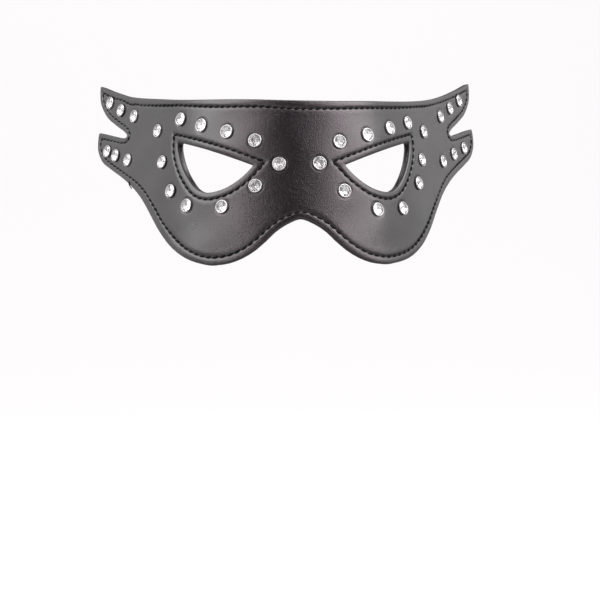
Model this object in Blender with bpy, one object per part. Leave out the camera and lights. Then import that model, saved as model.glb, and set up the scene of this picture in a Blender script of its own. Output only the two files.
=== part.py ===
"""Leather eye mask with winged temples, crystal rivets and an elastic head strap.

Metres, +Z up. The front of the mask faces -Y. The origin is the middle of the bridge's
inner face, where the mask rests on the nose, level with the inner corners of the eye
openings. Left and right are as seen from the front.

The leather is cut and punched flat, as on a bench, and then bent round the face. In the
flat pattern s runs along the leather from the centre line, z runs up from the eye line,
and d runs out of the front face, which lies at d = 0.
"""
import math
from collections import namedtuple

import bmesh
import bpy
from mathutils import Matrix, Vector

# Leather panel, drawn flat
LEATHER_THICKNESS = 0.0028
HALF_SPAN = 0.140          # centre line to the tip of the upper tine
BROW_RISE = 0.0284         # eye line to the top edge, above the nose
TIP_RISE = 0.0490          # eye line to the tip of the upper tine
NOTCH_REACH = 0.108        # centre line to the apex of the notch between the tines
NOTCH_RISE = 0.0209
LOWER_TIP_REACH = 0.136
LOWER_TIP_RISE = 0.0255
LOBE_REACH = 0.035         # centre line to the lowest point of the cheek lobe
LOBE_DROP = 0.0421
NOSE_DROP = 0.0230         # eye line down to the top of the nose arch
TIP_ROUNDING = 0.0012      # radius of the two tips of each wing
WING_ROOT = 0.080          # from here out the right wing is cut longer than the left one
WING_UNEVEN = 0.0035       # by this much more and less than HALF_SPAN
WING_LIFT = 0.0013         # and the longer wing's tip is this much higher
CHEEK_UNEVEN = 0.0008      # the right cheek is cut this much fuller than drawn, the left less
BROW_UNEVEN = 0.00035      # the right brow is cut this much lower than drawn, the left higher
BROW_FADE = 0.020          # the brow's unevenness starts and ends over this length
CHEEK_FADE = 0.015         # and the cheek's over this one

# Eye openings, drawn flat
EYE_INNER_REACH = 0.0203   # centre line to the inner corner
EYE_LENGTH = 0.0427        # inner corner to outer corner, along the leather
EYE_CORNER_LEVEL = 0.0005  # height of the inner corner
EYE_OUTER_RISE = 0.0133    # eye line to the outer corner
EYE_DROP = 0.0106          # eye line down to the lowest point of the opening
EYE_ROUNDING = 0.0010      # radius of the two corners

# Bend round the face, measured at the front of the leather
BROW_RADIUS = 0.060
BROW_ARC = 0.040           # length of leather bent at the brow radius, to each side
TEMPLE_RADIUS = 0.120
TEMPLE_ARC = 0.037         # length bent at the temple radius; the wings beyond are straight
LEAN = math.radians(8.0)   # the front looks up by this much

# Crystal rivets
BEZEL_RADIUS = 0.0030
BEZEL_HEIGHT = 0.0005
RIM_WIDTH = 0.00035        # turned-over rim of the bezel, round the stone
RIM_RISE = 0.00015
TABLE_RADIUS = 0.00155
CROWN_HEIGHT = 0.00050     # rim of the bezel to the stone's table
POST_RADIUS = 0.0008
CAP_RADIUS = 0.0026
CAP_THICKNESS = 0.0008
POST_CLEARANCE = 0.0003    # between a post and the hole that it passes
SEAT_GAP = 0.0003          # between faces that touch on the real mask
RING_MARGIN = 0.010        # eye opening to the ring of rivets round it
HAND_SLIP = 0.001          # unit of the small misplacements of rivets set by hand
RIVET_SIDES = 12
HOLE_SIDES = 8

# Elastic head strap
STRAP_WIDTH = 0.018
STRAP_THICKNESS = 0.0015
STRAP_TAB = 0.010          # how far the strap runs past its rivets, towards the eye
STRAP_OVERLAP = 0.012      # how far it lies on the leather past its rivets, away from the eye
STRAP_RISE = 0.0315        # its end on the leather to the middle of its back
STRAP_TURN_RADIUS = 0.042  # bend from the temple into the side of the head
STRAP_REACH = 0.195        # front of the bridge to the back of the strap

# Mesh spacing
EDGE_STEP = 0.0032
BEND_STEP = math.radians(3.6)
STRAP_STEP = 0.009
BACK_STEPS = 48
CUTTER_MARGIN = 0.002

# One row for each place that an edge passes between two named places. Both columns are
# shares of the way from the first named place to the second.
Pass = namedtuple("Pass", "across up")
TOP_EDGE = [  # brow to upper tip
    Pass(0.21, 0.052),
    Pass(0.50, 0.222),
    Pass(0.75, 0.503),
    Pass(0.89, 0.760),
]
UPPER_TINE_EDGE = [  # upper tip to notch
    Pass(0.02, 0.13),
    Pass(0.08, 0.32),
    Pass(0.31, 0.58),
    Pass(0.62, 0.77),
    Pass(0.92, 0.93),
]
LOWER_TINE_EDGE = [  # notch to lower tip
    Pass(0.05, -0.17),
    Pass(0.43, 0.24),
    Pass(0.79, 0.74),
]
CHEEK_EDGE = [  # lower tip to the lowest point of the lobe
    Pass(0.00, 0.07),
    Pass(0.01, 0.13),
    Pass(0.06, 0.215),
    Pass(0.145, 0.279),
    Pass(0.254, 0.349),
    Pass(0.3545, 0.423),
    Pass(0.457, 0.521),
    Pass(0.5585, 0.65),
    Pass(0.646, 0.7715),
    Pass(0.743, 0.886),
    Pass(0.845, 0.964),
    Pass(0.95, 1.001),
]
NOSE_EDGE = [  # lowest point of the lobe to the nose arch
    Pass(0.14, 0.035),
    Pass(0.29, 0.13),
    Pass(0.43, 0.275),
    Pass(0.57, 0.49),
    Pass(0.71, 0.735),
    Pass(0.86, 0.91),
]

# The same for an eye opening. Across is a share of its length from the inner corner, and
# up is a share of the rise of the outer corner, or of the drop where it is negative.
EYE_TOP = [
    Pass(0.23, 0.30),
    Pass(0.46, 0.54),
    Pass(0.70, 0.76),
]
EYE_BOTTOM = [
    Pass(0.993, 0.79),
    Pass(0.94, 0.38),
    Pass(0.865, 0.00),
    Pass(0.765, -0.47),
    Pass(0.67, -0.79),
    Pass(0.58, -0.945),
    Pass(0.51, -1.00),
    Pass(0.415, -0.97),
    Pass(0.30, -0.85),
    Pass(0.18, -0.60),
    Pass(0.085, -0.31),
]

# Rivets round an eye. Across and up are shares of the half length and half height of the
# opening with its margin, from its middle. The slips are in units of HAND_SLIP, added on
# the left side and taken off on the right.
RingRivet = namedtuple("RingRivet", "across up slip_out slip_up holds_strap")
RING_RIVETS = [
    RingRivet(-1.05, -0.03, 0.2, -0.15, False),
    RingRivet(-0.72, 0.43, 0.75, 0.3, False),
    RingRivet(-0.255, 0.62, 0.25, 0.75, False),
    RingRivet(0.22, 0.80, 0.0, 0.6, False),
    RingRivet(0.675, 0.975, -0.5, 0.75, False),
    RingRivet(1.19, 0.83, 0.5, 0.3, True),
    RingRivet(0.99, 0.185, 0.4, -0.35, True),
    RingRivet(0.76, -0.38, -0.8, -1.6, False),
    RingRivet(0.335, -0.82, 1.05, 0.9, False),
    RingRivet(-0.23, -0.88, -0.5, 0.75, False),
    RingRivet(-0.72, -0.51, 0.0, 1.15, False),
]

# Rivets along the wing's two tines. Along is a share of the way from the strap's end to
# the tine's tip, clear of the strap, and up is a share of the tip's rise.
TineRivet = namedtuple("TineRivet", "along up slip_out slip_up")
UPPER_TINE_RIVETS = [
    TineRivet(0.21, 0.588, 0.3, 0.1),
    TineRivet(0.47, 0.688, 0.1, -0.5),
    TineRivet(0.71, 0.790, -1.0, -0.75),
]
LOWER_TINE_RIVETS = [
    TineRivet(0.20, 0.302, 3.15, 0.75),
    TineRivet(0.485, 0.455, 1.75, 0.0),
    TineRivet(0.725, 0.588, -1.15, -0.75),
]

LEATHER_COLOUR = (0.035, 0.033, 0.036, 1.0)
CRYSTAL_COLOUR = (0.80, 0.80, 0.82, 1.0)
ELASTIC_COLOUR = (0.020, 0.020, 0.021, 1.0)

Rivet = namedtuple("Rivet", "side s z holds_strap")


def clear_scene():
    """Start from an empty scene."""
    for thing in list(bpy.data.objects):
        bpy.data.objects.remove(thing, do_unlink=True)


def material(name, colour, roughness, metallic):
    """A plain Principled material."""
    made = bpy.data.materials.new(name)
    made.use_nodes = True
    shader = made.node_tree.nodes["Principled BSDF"]
    shader.inputs["Base Color"].default_value = colour
    shader.inputs["Roughness"].default_value = roughness
    shader.inputs["Metallic"].default_value = metallic
    made.diffuse_color = colour
    return made


def add_object(name, mesh, finish):
    """Put a mesh in the scene as a named piece with its own material."""
    piece = bpy.data.objects.new(name, mesh)
    bpy.context.collection.objects.link(piece)
    if finish is not None:
        mesh.materials.clear()
        mesh.materials.append(finish)
    return piece


def between(start, end, row):
    """The place that a row's shares give between two named places."""
    return Vector((start.x + row.across * (end.x - start.x), start.y + row.up * (end.y - start.y)))


def curve_through(points, before=None, after=None):
    """A smooth line through flat points, as a list about EDGE_STEP apart, ends included.

    before and after are the places that the line would come from and go on to. An end
    without one is left to run out straight.
    """
    first = before or points[0] * 2.0 - points[1]
    last = after or points[-1] * 2.0 - points[-2]
    stops = [first] + points + [last]
    line = [points[0]]
    for index in range(1, len(stops) - 2):
        p0, p1, p2, p3 = stops[index - 1:index + 3]
        # Centripetal knots keep the line from looping where the stops are uneven.
        t1 = math.sqrt((p1 - p0).length)
        t2 = t1 + math.sqrt((p2 - p1).length)
        t3 = t2 + math.sqrt((p3 - p2).length)
        steps = max(1, math.ceil((p2 - p1).length / EDGE_STEP))
        for step in range(1, steps + 1):
            t = t1 + (t2 - t1) * step / steps
            a1 = p0 * ((t1 - t) / t1) + p1 * (t / t1)
            a2 = p1 * ((t2 - t) / (t2 - t1)) + p2 * ((t - t1) / (t2 - t1))
            a3 = p2 * ((t3 - t) / (t3 - t2)) + p3 * ((t - t2) / (t3 - t2))
            b1 = a1 * ((t2 - t) / t2) + a2 * (t / t2)
            b2 = a2 * ((t3 - t) / (t3 - t1)) + a3 * ((t - t1) / (t3 - t1))
            line.append(b1 * ((t2 - t) / (t2 - t1)) + b2 * ((t - t1) / (t2 - t1)))
    return line


def rounded_corner(line_in, line_out, radius):
    """Join two lines that meet in a corner, with the corner cut back and rounded."""
    corner = line_in[-1]
    while len(line_in) > 2 and (line_in[-1] - corner).length < radius:
        line_in = line_in[:-1]
    while len(line_out) > 2 and (line_out[0] - corner).length < radius:
        line_out = line_out[1:]
    start = corner + (line_in[-1] - corner).normalized() * radius
    end = corner + (line_out[0] - corner).normalized() * radius
    middle = (start + end) * 0.25 + corner * 0.5
    return line_in + [start, middle, end] + line_out


def half_outline():
    """Edge of one half of the leather, from the top of the brow round to the nose arch."""
    brow = Vector((0.0, BROW_RISE))
    upper_tip = Vector((HALF_SPAN, TIP_RISE))
    notch = Vector((NOTCH_REACH, NOTCH_RISE))
    lower_tip = Vector((LOWER_TIP_REACH, LOWER_TIP_RISE))
    lobe = Vector((LOBE_REACH, -LOBE_DROP))
    nose = Vector((0.0, -NOSE_DROP))

    top_stops = [brow] + [between(brow, upper_tip, row) for row in TOP_EDGE] + [upper_tip]
    upper_stops = [upper_tip] + [between(upper_tip, notch, row) for row in UPPER_TINE_EDGE]
    lower_stops = [between(notch, lower_tip, row) for row in LOWER_TINE_EDGE] + [lower_tip]
    cheek_stops = [lower_tip] + [between(lower_tip, lobe, row) for row in CHEEK_EDGE] + [lobe]
    nose_stops = [between(lobe, nose, row) for row in NOSE_EDGE] + [nose]

    top = curve_through(top_stops, before=Vector((-top_stops[1].x, top_stops[1].y)))
    tines = curve_through(upper_stops + [notch] + lower_stops)
    cheek = curve_through(cheek_stops + nose_stops, after=Vector((-nose_stops[-2].x, nose_stops[-2].y)))
    line = rounded_corner(top, tines[1:], TIP_ROUNDING)
    return rounded_corner(line, cheek[1:], TIP_ROUNDING)


def kept(value):
    """A share kept between nothing and all."""
    return max(0.0, min(1.0, value))


def uneven(point, side):
    """Move a point as the hand cut it: the right half has the longer wing and fuller cheek."""
    wing = max(0.0, (point.x - WING_ROOT) / (HALF_SPAN - WING_ROOT))
    cheek = kept((point.x - LOBE_REACH) / CHEEK_FADE) * kept(-point.y / CHEEK_FADE)
    brow = kept(point.x / BROW_FADE) * kept((NOTCH_REACH - point.x) / BROW_FADE)
    brow *= kept(point.y / BROW_FADE)
    across = point.x + side * (WING_UNEVEN * wing + CHEEK_UNEVEN * cheek)
    return Vector((side * across, point.y + side * (WING_LIFT * wing - BROW_UNEVEN * brow)))


def leather_outline():
    """Closed edge of the flat leather, counter-clockwise seen from the front."""
    half = half_outline()
    right = [uneven(point, 1.0) for point in half]
    left = [uneven(point, -1.0) for point in half]
    return right[::-1] + left[1:-1]


def eye_outline(side):
    """Closed edge of one eye opening in the flat leather."""
    inner = Vector((EYE_INNER_REACH, EYE_CORNER_LEVEL))
    outer = Vector((EYE_INNER_REACH + EYE_LENGTH, EYE_OUTER_RISE))

    def place(row):
        rise = EYE_OUTER_RISE if row.up > 0.0 else EYE_DROP
        return Vector((EYE_INNER_REACH + row.across * EYE_LENGTH, row.up * rise))

    top = curve_through([inner] + [place(row) for row in EYE_TOP] + [outer])
    bottom = curve_through([outer] + [place(row) for row in EYE_BOTTOM] + [inner])
    line = rounded_corner(top, bottom[1:], EYE_ROUNDING)
    half = line.index(min(line, key=lambda point: point.y))
    line = rounded_corner(line[half:], line[1:half], EYE_ROUNDING)
    return [Vector((side * point.x, point.y)) for point in line]


def ring_rivets():
    """The rivets round both eyes, as places in the flat pattern with their side."""
    half_length = EYE_LENGTH / 2.0 + RING_MARGIN
    half_height = (EYE_OUTER_RISE + EYE_DROP) / 2.0 + RING_MARGIN
    middle = Vector((EYE_INNER_REACH + EYE_LENGTH / 2.0, (EYE_OUTER_RISE - EYE_DROP) / 2.0))
    found = []
    for side in (-1.0, 1.0):
        slip = -side * HAND_SLIP
        for row in RING_RIVETS:
            s = middle.x + row.across * half_length + row.slip_out * slip
            z = middle.y + row.up * half_height + row.slip_up * slip
            found.append(Rivet(side, s, z, row.holds_strap))
    return found


def strap_start():
    """Middle of the rivets that hold the strap, in the flat pattern."""
    held = [rivet for rivet in ring_rivets() if rivet.holds_strap]
    return Vector((sum(rivet.s for rivet in held), sum(rivet.z for rivet in held))) / len(held)


def tine_rivets():
    """The rivets along the tines of both wings, outward of the strap."""
    root = strap_start().x + STRAP_OVERLAP + CAP_RADIUS + SEAT_GAP
    found = []
    for side in (-1.0, 1.0):
        slip = -side * HAND_SLIP
        for rows, reach, rise in (
            (UPPER_TINE_RIVETS, HALF_SPAN, TIP_RISE),
            (LOWER_TINE_RIVETS, LOWER_TIP_REACH, LOWER_TIP_RISE),
        ):
            for row in rows:
                s = root + row.along * (reach - root) + row.slip_out * slip
                z = row.up * rise + row.slip_up * slip
                found.append(Rivet(side, s, z, False))
    return found


def advance(x, y, turn, length, radius):
    """Go on along an arc in plan, from a place and a heading."""
    after = turn + length / radius
    x += radius * (math.sin(after) - math.sin(turn))
    y += radius * (math.cos(turn) - math.cos(after))
    return x, y, after


def leather_plan(s):
    """Plan of the front of the leather on the right side: place and heading at s."""
    place = advance(0.0, 0.0, 0.0, min(s, BROW_ARC), BROW_RADIUS)
    if s > BROW_ARC:
        place = advance(*place, min(s - BROW_ARC, TEMPLE_ARC), TEMPLE_RADIUS)
    x, y, turn = place
    straight = max(0.0, s - BROW_ARC - TEMPLE_ARC)
    return x + straight * math.cos(turn), y + straight * math.sin(turn), turn


def strap_route():
    """Half of the strap's way round the head: (s, x, y, heading) from leather to back.

    It lies on the leather, turns into the side of the head, and goes round the back as
    half an ellipse. It is measured at the leather's front, like everything in the plan.
    """
    start = strap_start().x - STRAP_TAB
    leave = strap_start().x + STRAP_OVERLAP
    route = []
    on_leather = math.ceil((leave - start) / STRAP_STEP)
    for step in range(on_leather + 1):
        s = start + (leave - start) * step / on_leather
        route.append((s, *leather_plan(s)))
    s, x, y, turn = route[-1]
    bend = (math.pi / 2.0 - turn) * STRAP_TURN_RADIUS
    bend_steps = math.ceil(bend / STRAP_STEP)
    for step in range(1, bend_steps + 1):
        length = bend * step / bend_steps
        route.append((s + length, *advance(x, y, turn, length, STRAP_TURN_RADIUS)))
    s, half_breadth, widest, turn = route[-1]
    depth = STRAP_REACH - widest
    last = Vector((half_breadth, widest))
    for step in range(1, BACK_STEPS + 1):
        angle = step / BACK_STEPS * math.pi / 2.0
        spot = Vector((half_breadth * math.cos(angle), widest + depth * math.sin(angle)))
        s += (spot - last).length
        last = spot
        heading = math.atan2(depth * math.cos(angle), -half_breadth * math.sin(angle))
        if step % 3 == 0:
            route.append((s, spot.x, spot.y, heading))
    return route


def strap_level(s, route):
    """Height of the strap's middle line: it rises from the temple and levels at the back."""
    share = (s - route[0][0]) / (route[-1][0] - route[0][0])
    share_at_rivets = STRAP_TAB / (route[-1][0] - route[0][0])
    lowest = strap_start().y - STRAP_RISE * (2.0 - share_at_rivets) * share_at_rivets
    return lowest + STRAP_RISE * (2.0 - share) * share


def strap_plan(s, route):
    """Plan of the strap at s, exact on the leather and straight between its stations."""
    if s <= strap_start().x + STRAP_OVERLAP:
        return leather_plan(s)
    for before, after in zip(route, route[1:]):
        if s <= after[0] + EDGE_STEP / 100.0:
            share = (s - before[0]) / (after[0] - before[0])
            return tuple(a + (b - a) * share for a, b in zip(before[1:], after[1:]))
    return route[-1][1:]


def stand_up(plan, side, z, d):
    """A place in space, from a place in plan, a height and a distance out of the front."""
    x, y, turn = plan
    outward = Vector((side * math.sin(turn), -math.cos(turn), 0.0))
    foot = Vector((side * x, y, z)) - outward * (z * math.tan(LEAN))
    normal = outward * math.cos(LEAN) + Vector((0.0, 0.0, math.sin(LEAN)))
    return foot + normal * d


def in_frame(point):
    """Move a place so that the middle of the bridge's inner face is the origin."""
    return point - stand_up(leather_plan(0.0), 1.0, 0.0, -LEATHER_THICKNESS)


def bent(s, z, d):
    """Where a place in the flat leather lies once the mask is bent. Left has negative s."""
    side = 1.0 if s >= 0.0 else -1.0
    return in_frame(stand_up(leather_plan(abs(s)), side, z, d))


def plate(outlines, bottom, top):
    """A mesh of flat plates with the given closed outlines, between two values of d."""
    work = bmesh.new()
    for outline in outlines:
        face = work.faces.new([work.verts.new((point.x, point.y, bottom)) for point in outline])
        extruded = bmesh.ops.extrude_face_region(work, geom=[face], use_keep_orig=True)
        for vert in [item for item in extruded["geom"] if isinstance(item, bmesh.types.BMVert)]:
            vert.co.z = top
    bmesh.ops.recalc_face_normals(work, faces=work.faces)
    mesh = bpy.data.meshes.new("plate")
    work.to_mesh(mesh)
    work.free()
    return mesh


def strips(stations, low, high, bottom, top):
    """A flat slab cut across at each station, ready to be bent there."""
    work = bmesh.new()
    rings = []
    for station in stations:
        z_low, z_high = low(station), high(station)
        corners = ((z_low, bottom), (z_high, bottom), (z_high, top), (z_low, top))
        rings.append([work.verts.new((station, z, d)) for z, d in corners])
    for ring, following in zip(rings, rings[1:]):
        for index in range(4):
            other = (index + 1) % 4
            work.faces.new((ring[index], ring[other], following[other], following[index]))
    work.faces.new(rings[0][::-1])
    work.faces.new(rings[-1])
    bmesh.ops.recalc_face_normals(work, faces=work.faces)
    mesh = bpy.data.meshes.new("slab")
    work.to_mesh(mesh)
    work.free()
    return mesh


def cut(mesh, cutters):
    """Apply exact Booleans to a mesh. cutters is a list of (operation, cutting mesh)."""
    stock = add_object("stock", mesh, None)
    helpers = []
    for operation, shape in cutters:
        helper = add_object("cutter", shape, None)
        helper.hide_render = True
        helper.display_type = "WIRE"
        helpers.append(helper)
        modifier = stock.modifiers.new("cut", "BOOLEAN")
        modifier.operation = operation
        modifier.solver = "EXACT"
        modifier.object = helper
    evaluated = stock.evaluated_get(bpy.context.evaluated_depsgraph_get())
    result = bpy.data.meshes.new_from_object(evaluated)
    for thing in helpers + [stock]:
        bpy.data.objects.remove(thing, do_unlink=True)
    return result


def bend(mesh, place):
    """Triangulate a flat mesh and move each of its points to its place round the face."""
    work = bmesh.new()
    work.from_mesh(mesh)
    bmesh.ops.triangulate(work, faces=work.faces)
    for vert in work.verts:
        vert.co = place(*vert.co)
    if work.calc_volume(signed=True) < 0.0:
        bmesh.ops.reverse_faces(work, faces=work.faces)
    work.to_mesh(mesh)
    work.free()
    mesh.shade_smooth()
    mesh.set_sharp_from_angle(angle=math.radians(30.0))
    return mesh


def circle(centre, radius):
    """A punched hole's outline."""
    angles = [2.0 * math.pi * index / HOLE_SIDES for index in range(HOLE_SIDES)]
    return [centre + Vector((math.cos(angle), math.sin(angle))) * radius for angle in angles]


def leather_stations():
    """Where the leather is cut across: finely where it bends, and at the ends."""
    half = []
    for start, length, radius in (
        (0.0, BROW_ARC, BROW_RADIUS),
        (BROW_ARC, TEMPLE_ARC, TEMPLE_RADIUS),
    ):
        steps = math.ceil(length / radius / BEND_STEP)
        half += [start + length * step / steps for step in range(steps)]
    half.append(BROW_ARC + TEMPLE_ARC)
    half.append(HALF_SPAN + WING_UNEVEN + CUTTER_MARGIN)
    return [-s for s in half[:0:-1]] + half


def make_leather():
    """The one leather panel, with its eye openings and rivet holes."""
    top = TIP_RISE + WING_LIFT + CUTTER_MARGIN
    low = -LOBE_DROP - CUTTER_MARGIN
    slab = strips(leather_stations(), lambda s: low, lambda s: top, -LEATHER_THICKNESS, 0.0)
    deep = (-LEATHER_THICKNESS - CUTTER_MARGIN, CUTTER_MARGIN)
    outline = plate([leather_outline()], *deep)
    hole_radius = POST_RADIUS + POST_CLEARANCE
    openings = [eye_outline(-1.0), eye_outline(1.0)]
    every_rivet = ring_rivets() + tine_rivets()
    openings += [circle(Vector((rivet.side * rivet.s, rivet.z)), hole_radius) for rivet in every_rivet]
    panel = cut(slab, [("INTERSECT", outline), ("DIFFERENCE", plate(openings, *deep))])
    bend(panel, bent)
    add_object("mask_body", panel, material("black_leather", LEATHER_COLOUR, 0.45, 0.0))


def make_strap():
    """The elastic band round the head, with holes for the rivets that hold it."""
    route = strap_route()
    back = route[-1][0]
    half = [row[0] - back for row in route]
    outer = -LEATHER_THICKNESS - SEAT_GAP
    inner = outer - STRAP_THICKNESS

    def level(along):
        return strap_level(back - abs(along), route)

    def place(along, z, d):
        side = 1.0 if along >= 0.0 else -1.0
        return in_frame(stand_up(strap_plan(back - abs(along), route), side, z, d))

    slab = strips(
        half + [-along for along in half[-2::-1]],
        lambda along: level(along) - STRAP_WIDTH / 2.0,
        lambda along: level(along) + STRAP_WIDTH / 2.0,
        inner,
        outer,
    )
    hole_radius = POST_RADIUS + POST_CLEARANCE
    held = [rivet for rivet in ring_rivets() if rivet.holds_strap]
    holes = [circle(Vector((rivet.side * (back - rivet.s), rivet.z)), hole_radius) for rivet in held]
    punches = plate(holes, inner - CUTTER_MARGIN, outer + CUTTER_MARGIN)
    band = bend(cut(slab, [("DIFFERENCE", punches)]), place)
    add_object("head_strap", band, material("black_elastic", ELASTIC_COLOUR, 0.85, 0.0))


def rivet_mesh(name, grip):
    """A turned rivet: back cap, post, bezel and cut stone in one body, axis along z."""
    cap_face = -grip - SEAT_GAP
    rim = SEAT_GAP + BEZEL_HEIGHT
    profile = [
        (0.0, cap_face - CAP_THICKNESS),
        (CAP_RADIUS, cap_face - CAP_THICKNESS),
        (CAP_RADIUS, cap_face),
        (POST_RADIUS, cap_face),
        (POST_RADIUS, SEAT_GAP),
        (BEZEL_RADIUS, SEAT_GAP),
        (BEZEL_RADIUS, rim),
        (BEZEL_RADIUS - RIM_WIDTH, rim + RIM_RISE),
        (TABLE_RADIUS, rim + RIM_RISE + CROWN_HEIGHT),
        (0.0, rim + RIM_RISE + CROWN_HEIGHT),
    ]
    work = bmesh.new()
    points = [work.verts.new((radius, 0.0, z)) for radius, z in profile]
    edges = [work.edges.new(pair) for pair in zip(points, points[1:])]
    bmesh.ops.spin(
        work,
        geom=points + edges,
        cent=(0.0, 0.0, 0.0),
        axis=(0.0, 0.0, 1.0),
        angle=2.0 * math.pi,
        steps=RIVET_SIDES,
        use_merge=True,
    )
    bmesh.ops.remove_doubles(work, verts=work.verts, dist=0.000001)
    bmesh.ops.recalc_face_normals(work, faces=work.faces)
    mesh = bpy.data.meshes.new(name)
    work.to_mesh(mesh)
    work.free()
    mesh.shade_smooth()
    mesh.set_sharp_from_angle(angle=math.radians(25.0))
    return mesh


def make_rivets():
    """Stand a rivet through each hole, square to the leather."""
    crystal = material("crystal_and_steel", CRYSTAL_COLOUR, 0.12, 0.9)
    plain = rivet_mesh("plain_rivet", LEATHER_THICKNESS)
    long = rivet_mesh("strap_rivet", LEATHER_THICKNESS + SEAT_GAP + STRAP_THICKNESS)
    counts = {-1.0: 0, 1.0: 0}
    for rivet in ring_rivets() + tine_rivets():
        counts[rivet.side] += 1
        word = "right" if rivet.side > 0.0 else "left"
        name = f"crystal_rivet_{word}_{counts[rivet.side]:02d}"
        piece = add_object(name, long if rivet.holds_strap else plain, crystal)
        seat = bent(rivet.side * rivet.s, rivet.z, 0.0)
        out = (bent(rivet.side * rivet.s, rivet.z, LEATHER_THICKNESS) - seat).normalized()
        across = Vector((0.0, 0.0, 1.0)).cross(out).normalized()
        turn = Matrix((across, out.cross(across), out)).transposed()
        piece.matrix_world = Matrix.Translation(seat) @ turn.to_4x4()


def main():
    clear_scene()
    make_leather()
    make_strap()
    make_rivets()


main()
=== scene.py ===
# %% [markdown]
# A riveted leather eye mask, dressed for its picture.
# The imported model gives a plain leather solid, plain rivets and a plain strap, all in their
# real places. This lesson puts the finished pieces in those places: a leather panel with a
# pressed seam, black stitches, cut crystals in steel bezels, and woven elastic. Everything
# is in metres, the mask faces -Y, and left and right are as seen from the front.

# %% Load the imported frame
import math

import bmesh
import bpy
import numpy as np
from mathutils import Matrix, Vector
from mathutils.geometry import delaunay_2d_cdt
from mathutils.kdtree import KDTree


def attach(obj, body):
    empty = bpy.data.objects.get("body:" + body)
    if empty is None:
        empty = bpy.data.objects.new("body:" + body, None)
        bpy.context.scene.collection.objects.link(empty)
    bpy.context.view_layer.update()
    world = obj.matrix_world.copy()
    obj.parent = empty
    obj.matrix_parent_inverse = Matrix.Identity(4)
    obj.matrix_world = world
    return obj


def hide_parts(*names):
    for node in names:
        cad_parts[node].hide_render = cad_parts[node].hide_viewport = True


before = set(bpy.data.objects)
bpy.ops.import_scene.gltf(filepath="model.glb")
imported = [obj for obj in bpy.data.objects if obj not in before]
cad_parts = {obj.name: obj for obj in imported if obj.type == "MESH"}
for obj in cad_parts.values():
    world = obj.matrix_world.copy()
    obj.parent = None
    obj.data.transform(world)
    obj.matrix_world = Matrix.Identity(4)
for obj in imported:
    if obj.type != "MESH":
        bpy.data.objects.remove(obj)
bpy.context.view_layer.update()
MM = 0.001

# %% [markdown]
# The camera comes first, because every later choice is judged through it. The picture was
# taken level, from a little below the mask and a little to its left, with a short telephoto
# lens. So the camera stands level in its own space, and the turn and the small roll that
# the mask had are taken off again to bring it into the mask's space.

# %% Camera at the photograph's viewing angle
LEATHER_THICKNESS = 2.8 * MM
LEAN = math.radians(8.0)
CAMERA_DISTANCE = 607.3 * MM
CAMERA_DROP = 57.85 * MM
MASK_TURN = math.radians(4.598)
MASK_ROLL = math.radians(-0.587)
LENS_MM = 85.0
SENSOR_MM = 36.0

BRIDGE_FRONT = Vector((0.0, -math.cos(LEAN), math.sin(LEAN))) * LEATHER_THICKNESS
camera_data = bpy.data.cameras.new("portrait_lens")
camera_data.lens = LENS_MM
camera_data.sensor_width = SENSOR_MM
camera = bpy.data.objects.new("camera", camera_data)
bpy.context.scene.collection.objects.link(camera)
stand_back = Matrix.Translation((0.0, -CAMERA_DISTANCE, -CAMERA_DROP))
level_camera = stand_back @ Matrix.Rotation(math.pi / 2, 4, "X")
unturn = Matrix.Rotation(-MASK_TURN, 4, "Z") @ Matrix.Rotation(-MASK_ROLL, 4, "Y")
camera.matrix_world = Matrix.Translation(BRIDGE_FRONT) @ unturn @ level_camera
bpy.context.scene.camera = camera
print("camera at", [round(v, 3) for v in camera.location])

# %% [markdown]
# The leather is drawn flat and then bent, the way it is made. These are the same driving
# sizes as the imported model's: how far the wings reach, how high the brow and the tips stand,
# and how deep the cheek lobes and the nose arch hang. In the flat pattern s runs along the
# leather from the centre line, z runs up from the eye line and d runs out of the front.

# %% Driving sizes of the flat pattern
HALF_SPAN = 140.0 * MM
BROW_RISE = 28.4 * MM
TIP_RISE = 49.0 * MM
NOTCH = (108.0 * MM, 20.9 * MM)
LOWER_TIP = (136.0 * MM, 25.5 * MM)
LOBE = (35.0 * MM, -42.1 * MM)
NOSE_DROP = 23.0 * MM
TIP_ROUNDING = 1.2 * MM
WING_ROOT = 80.0 * MM
WING_UNEVEN = 3.5 * MM
WING_LIFT = 1.3 * MM
CHEEK_UNEVEN, CHEEK_FADE = 0.8 * MM, 15.0 * MM
BROW_UNEVEN, BROW_FADE = 0.35 * MM, 20.0 * MM
EYE_INNER = (20.3 * MM, 0.5 * MM)
EYE_LENGTH = 42.7 * MM
EYE_OUTER_RISE = 13.3 * MM
EYE_DROP = 10.6 * MM
EYE_ROUNDING = 1.0 * MM
BROW_RADIUS, BROW_ARC = 60.0 * MM, 40.0 * MM
TEMPLE_RADIUS, TEMPLE_ARC = 120.0 * MM, 37.0 * MM
print("flat pattern:", round(2 * HALF_SPAN / MM), "mm from tip to tip")

# %% Places that each edge passes, as shares of the way between two named places
TOP_EDGE = [(0.21, 0.052), (0.50, 0.222), (0.75, 0.503), (0.89, 0.760)]
UPPER_TINE_EDGE = [(0.02, 0.13), (0.08, 0.32), (0.31, 0.58), (0.62, 0.77), (0.92, 0.93)]
LOWER_TINE_EDGE = [(0.05, -0.17), (0.43, 0.24), (0.79, 0.74)]
CHEEK_EDGE = [
    (0.00, 0.07), (0.01, 0.13), (0.06, 0.215), (0.145, 0.279), (0.254, 0.349), (0.3545, 0.423),
    (0.457, 0.521), (0.5585, 0.65), (0.646, 0.7715), (0.743, 0.886), (0.845, 0.964), (0.95, 1.001),
]
NOSE_EDGE = [(0.14, 0.035), (0.29, 0.13), (0.43, 0.275), (0.57, 0.49), (0.71, 0.735), (0.86, 0.91)]
EYE_TOP = [(0.23, 0.30), (0.46, 0.54), (0.70, 0.76)]
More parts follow.
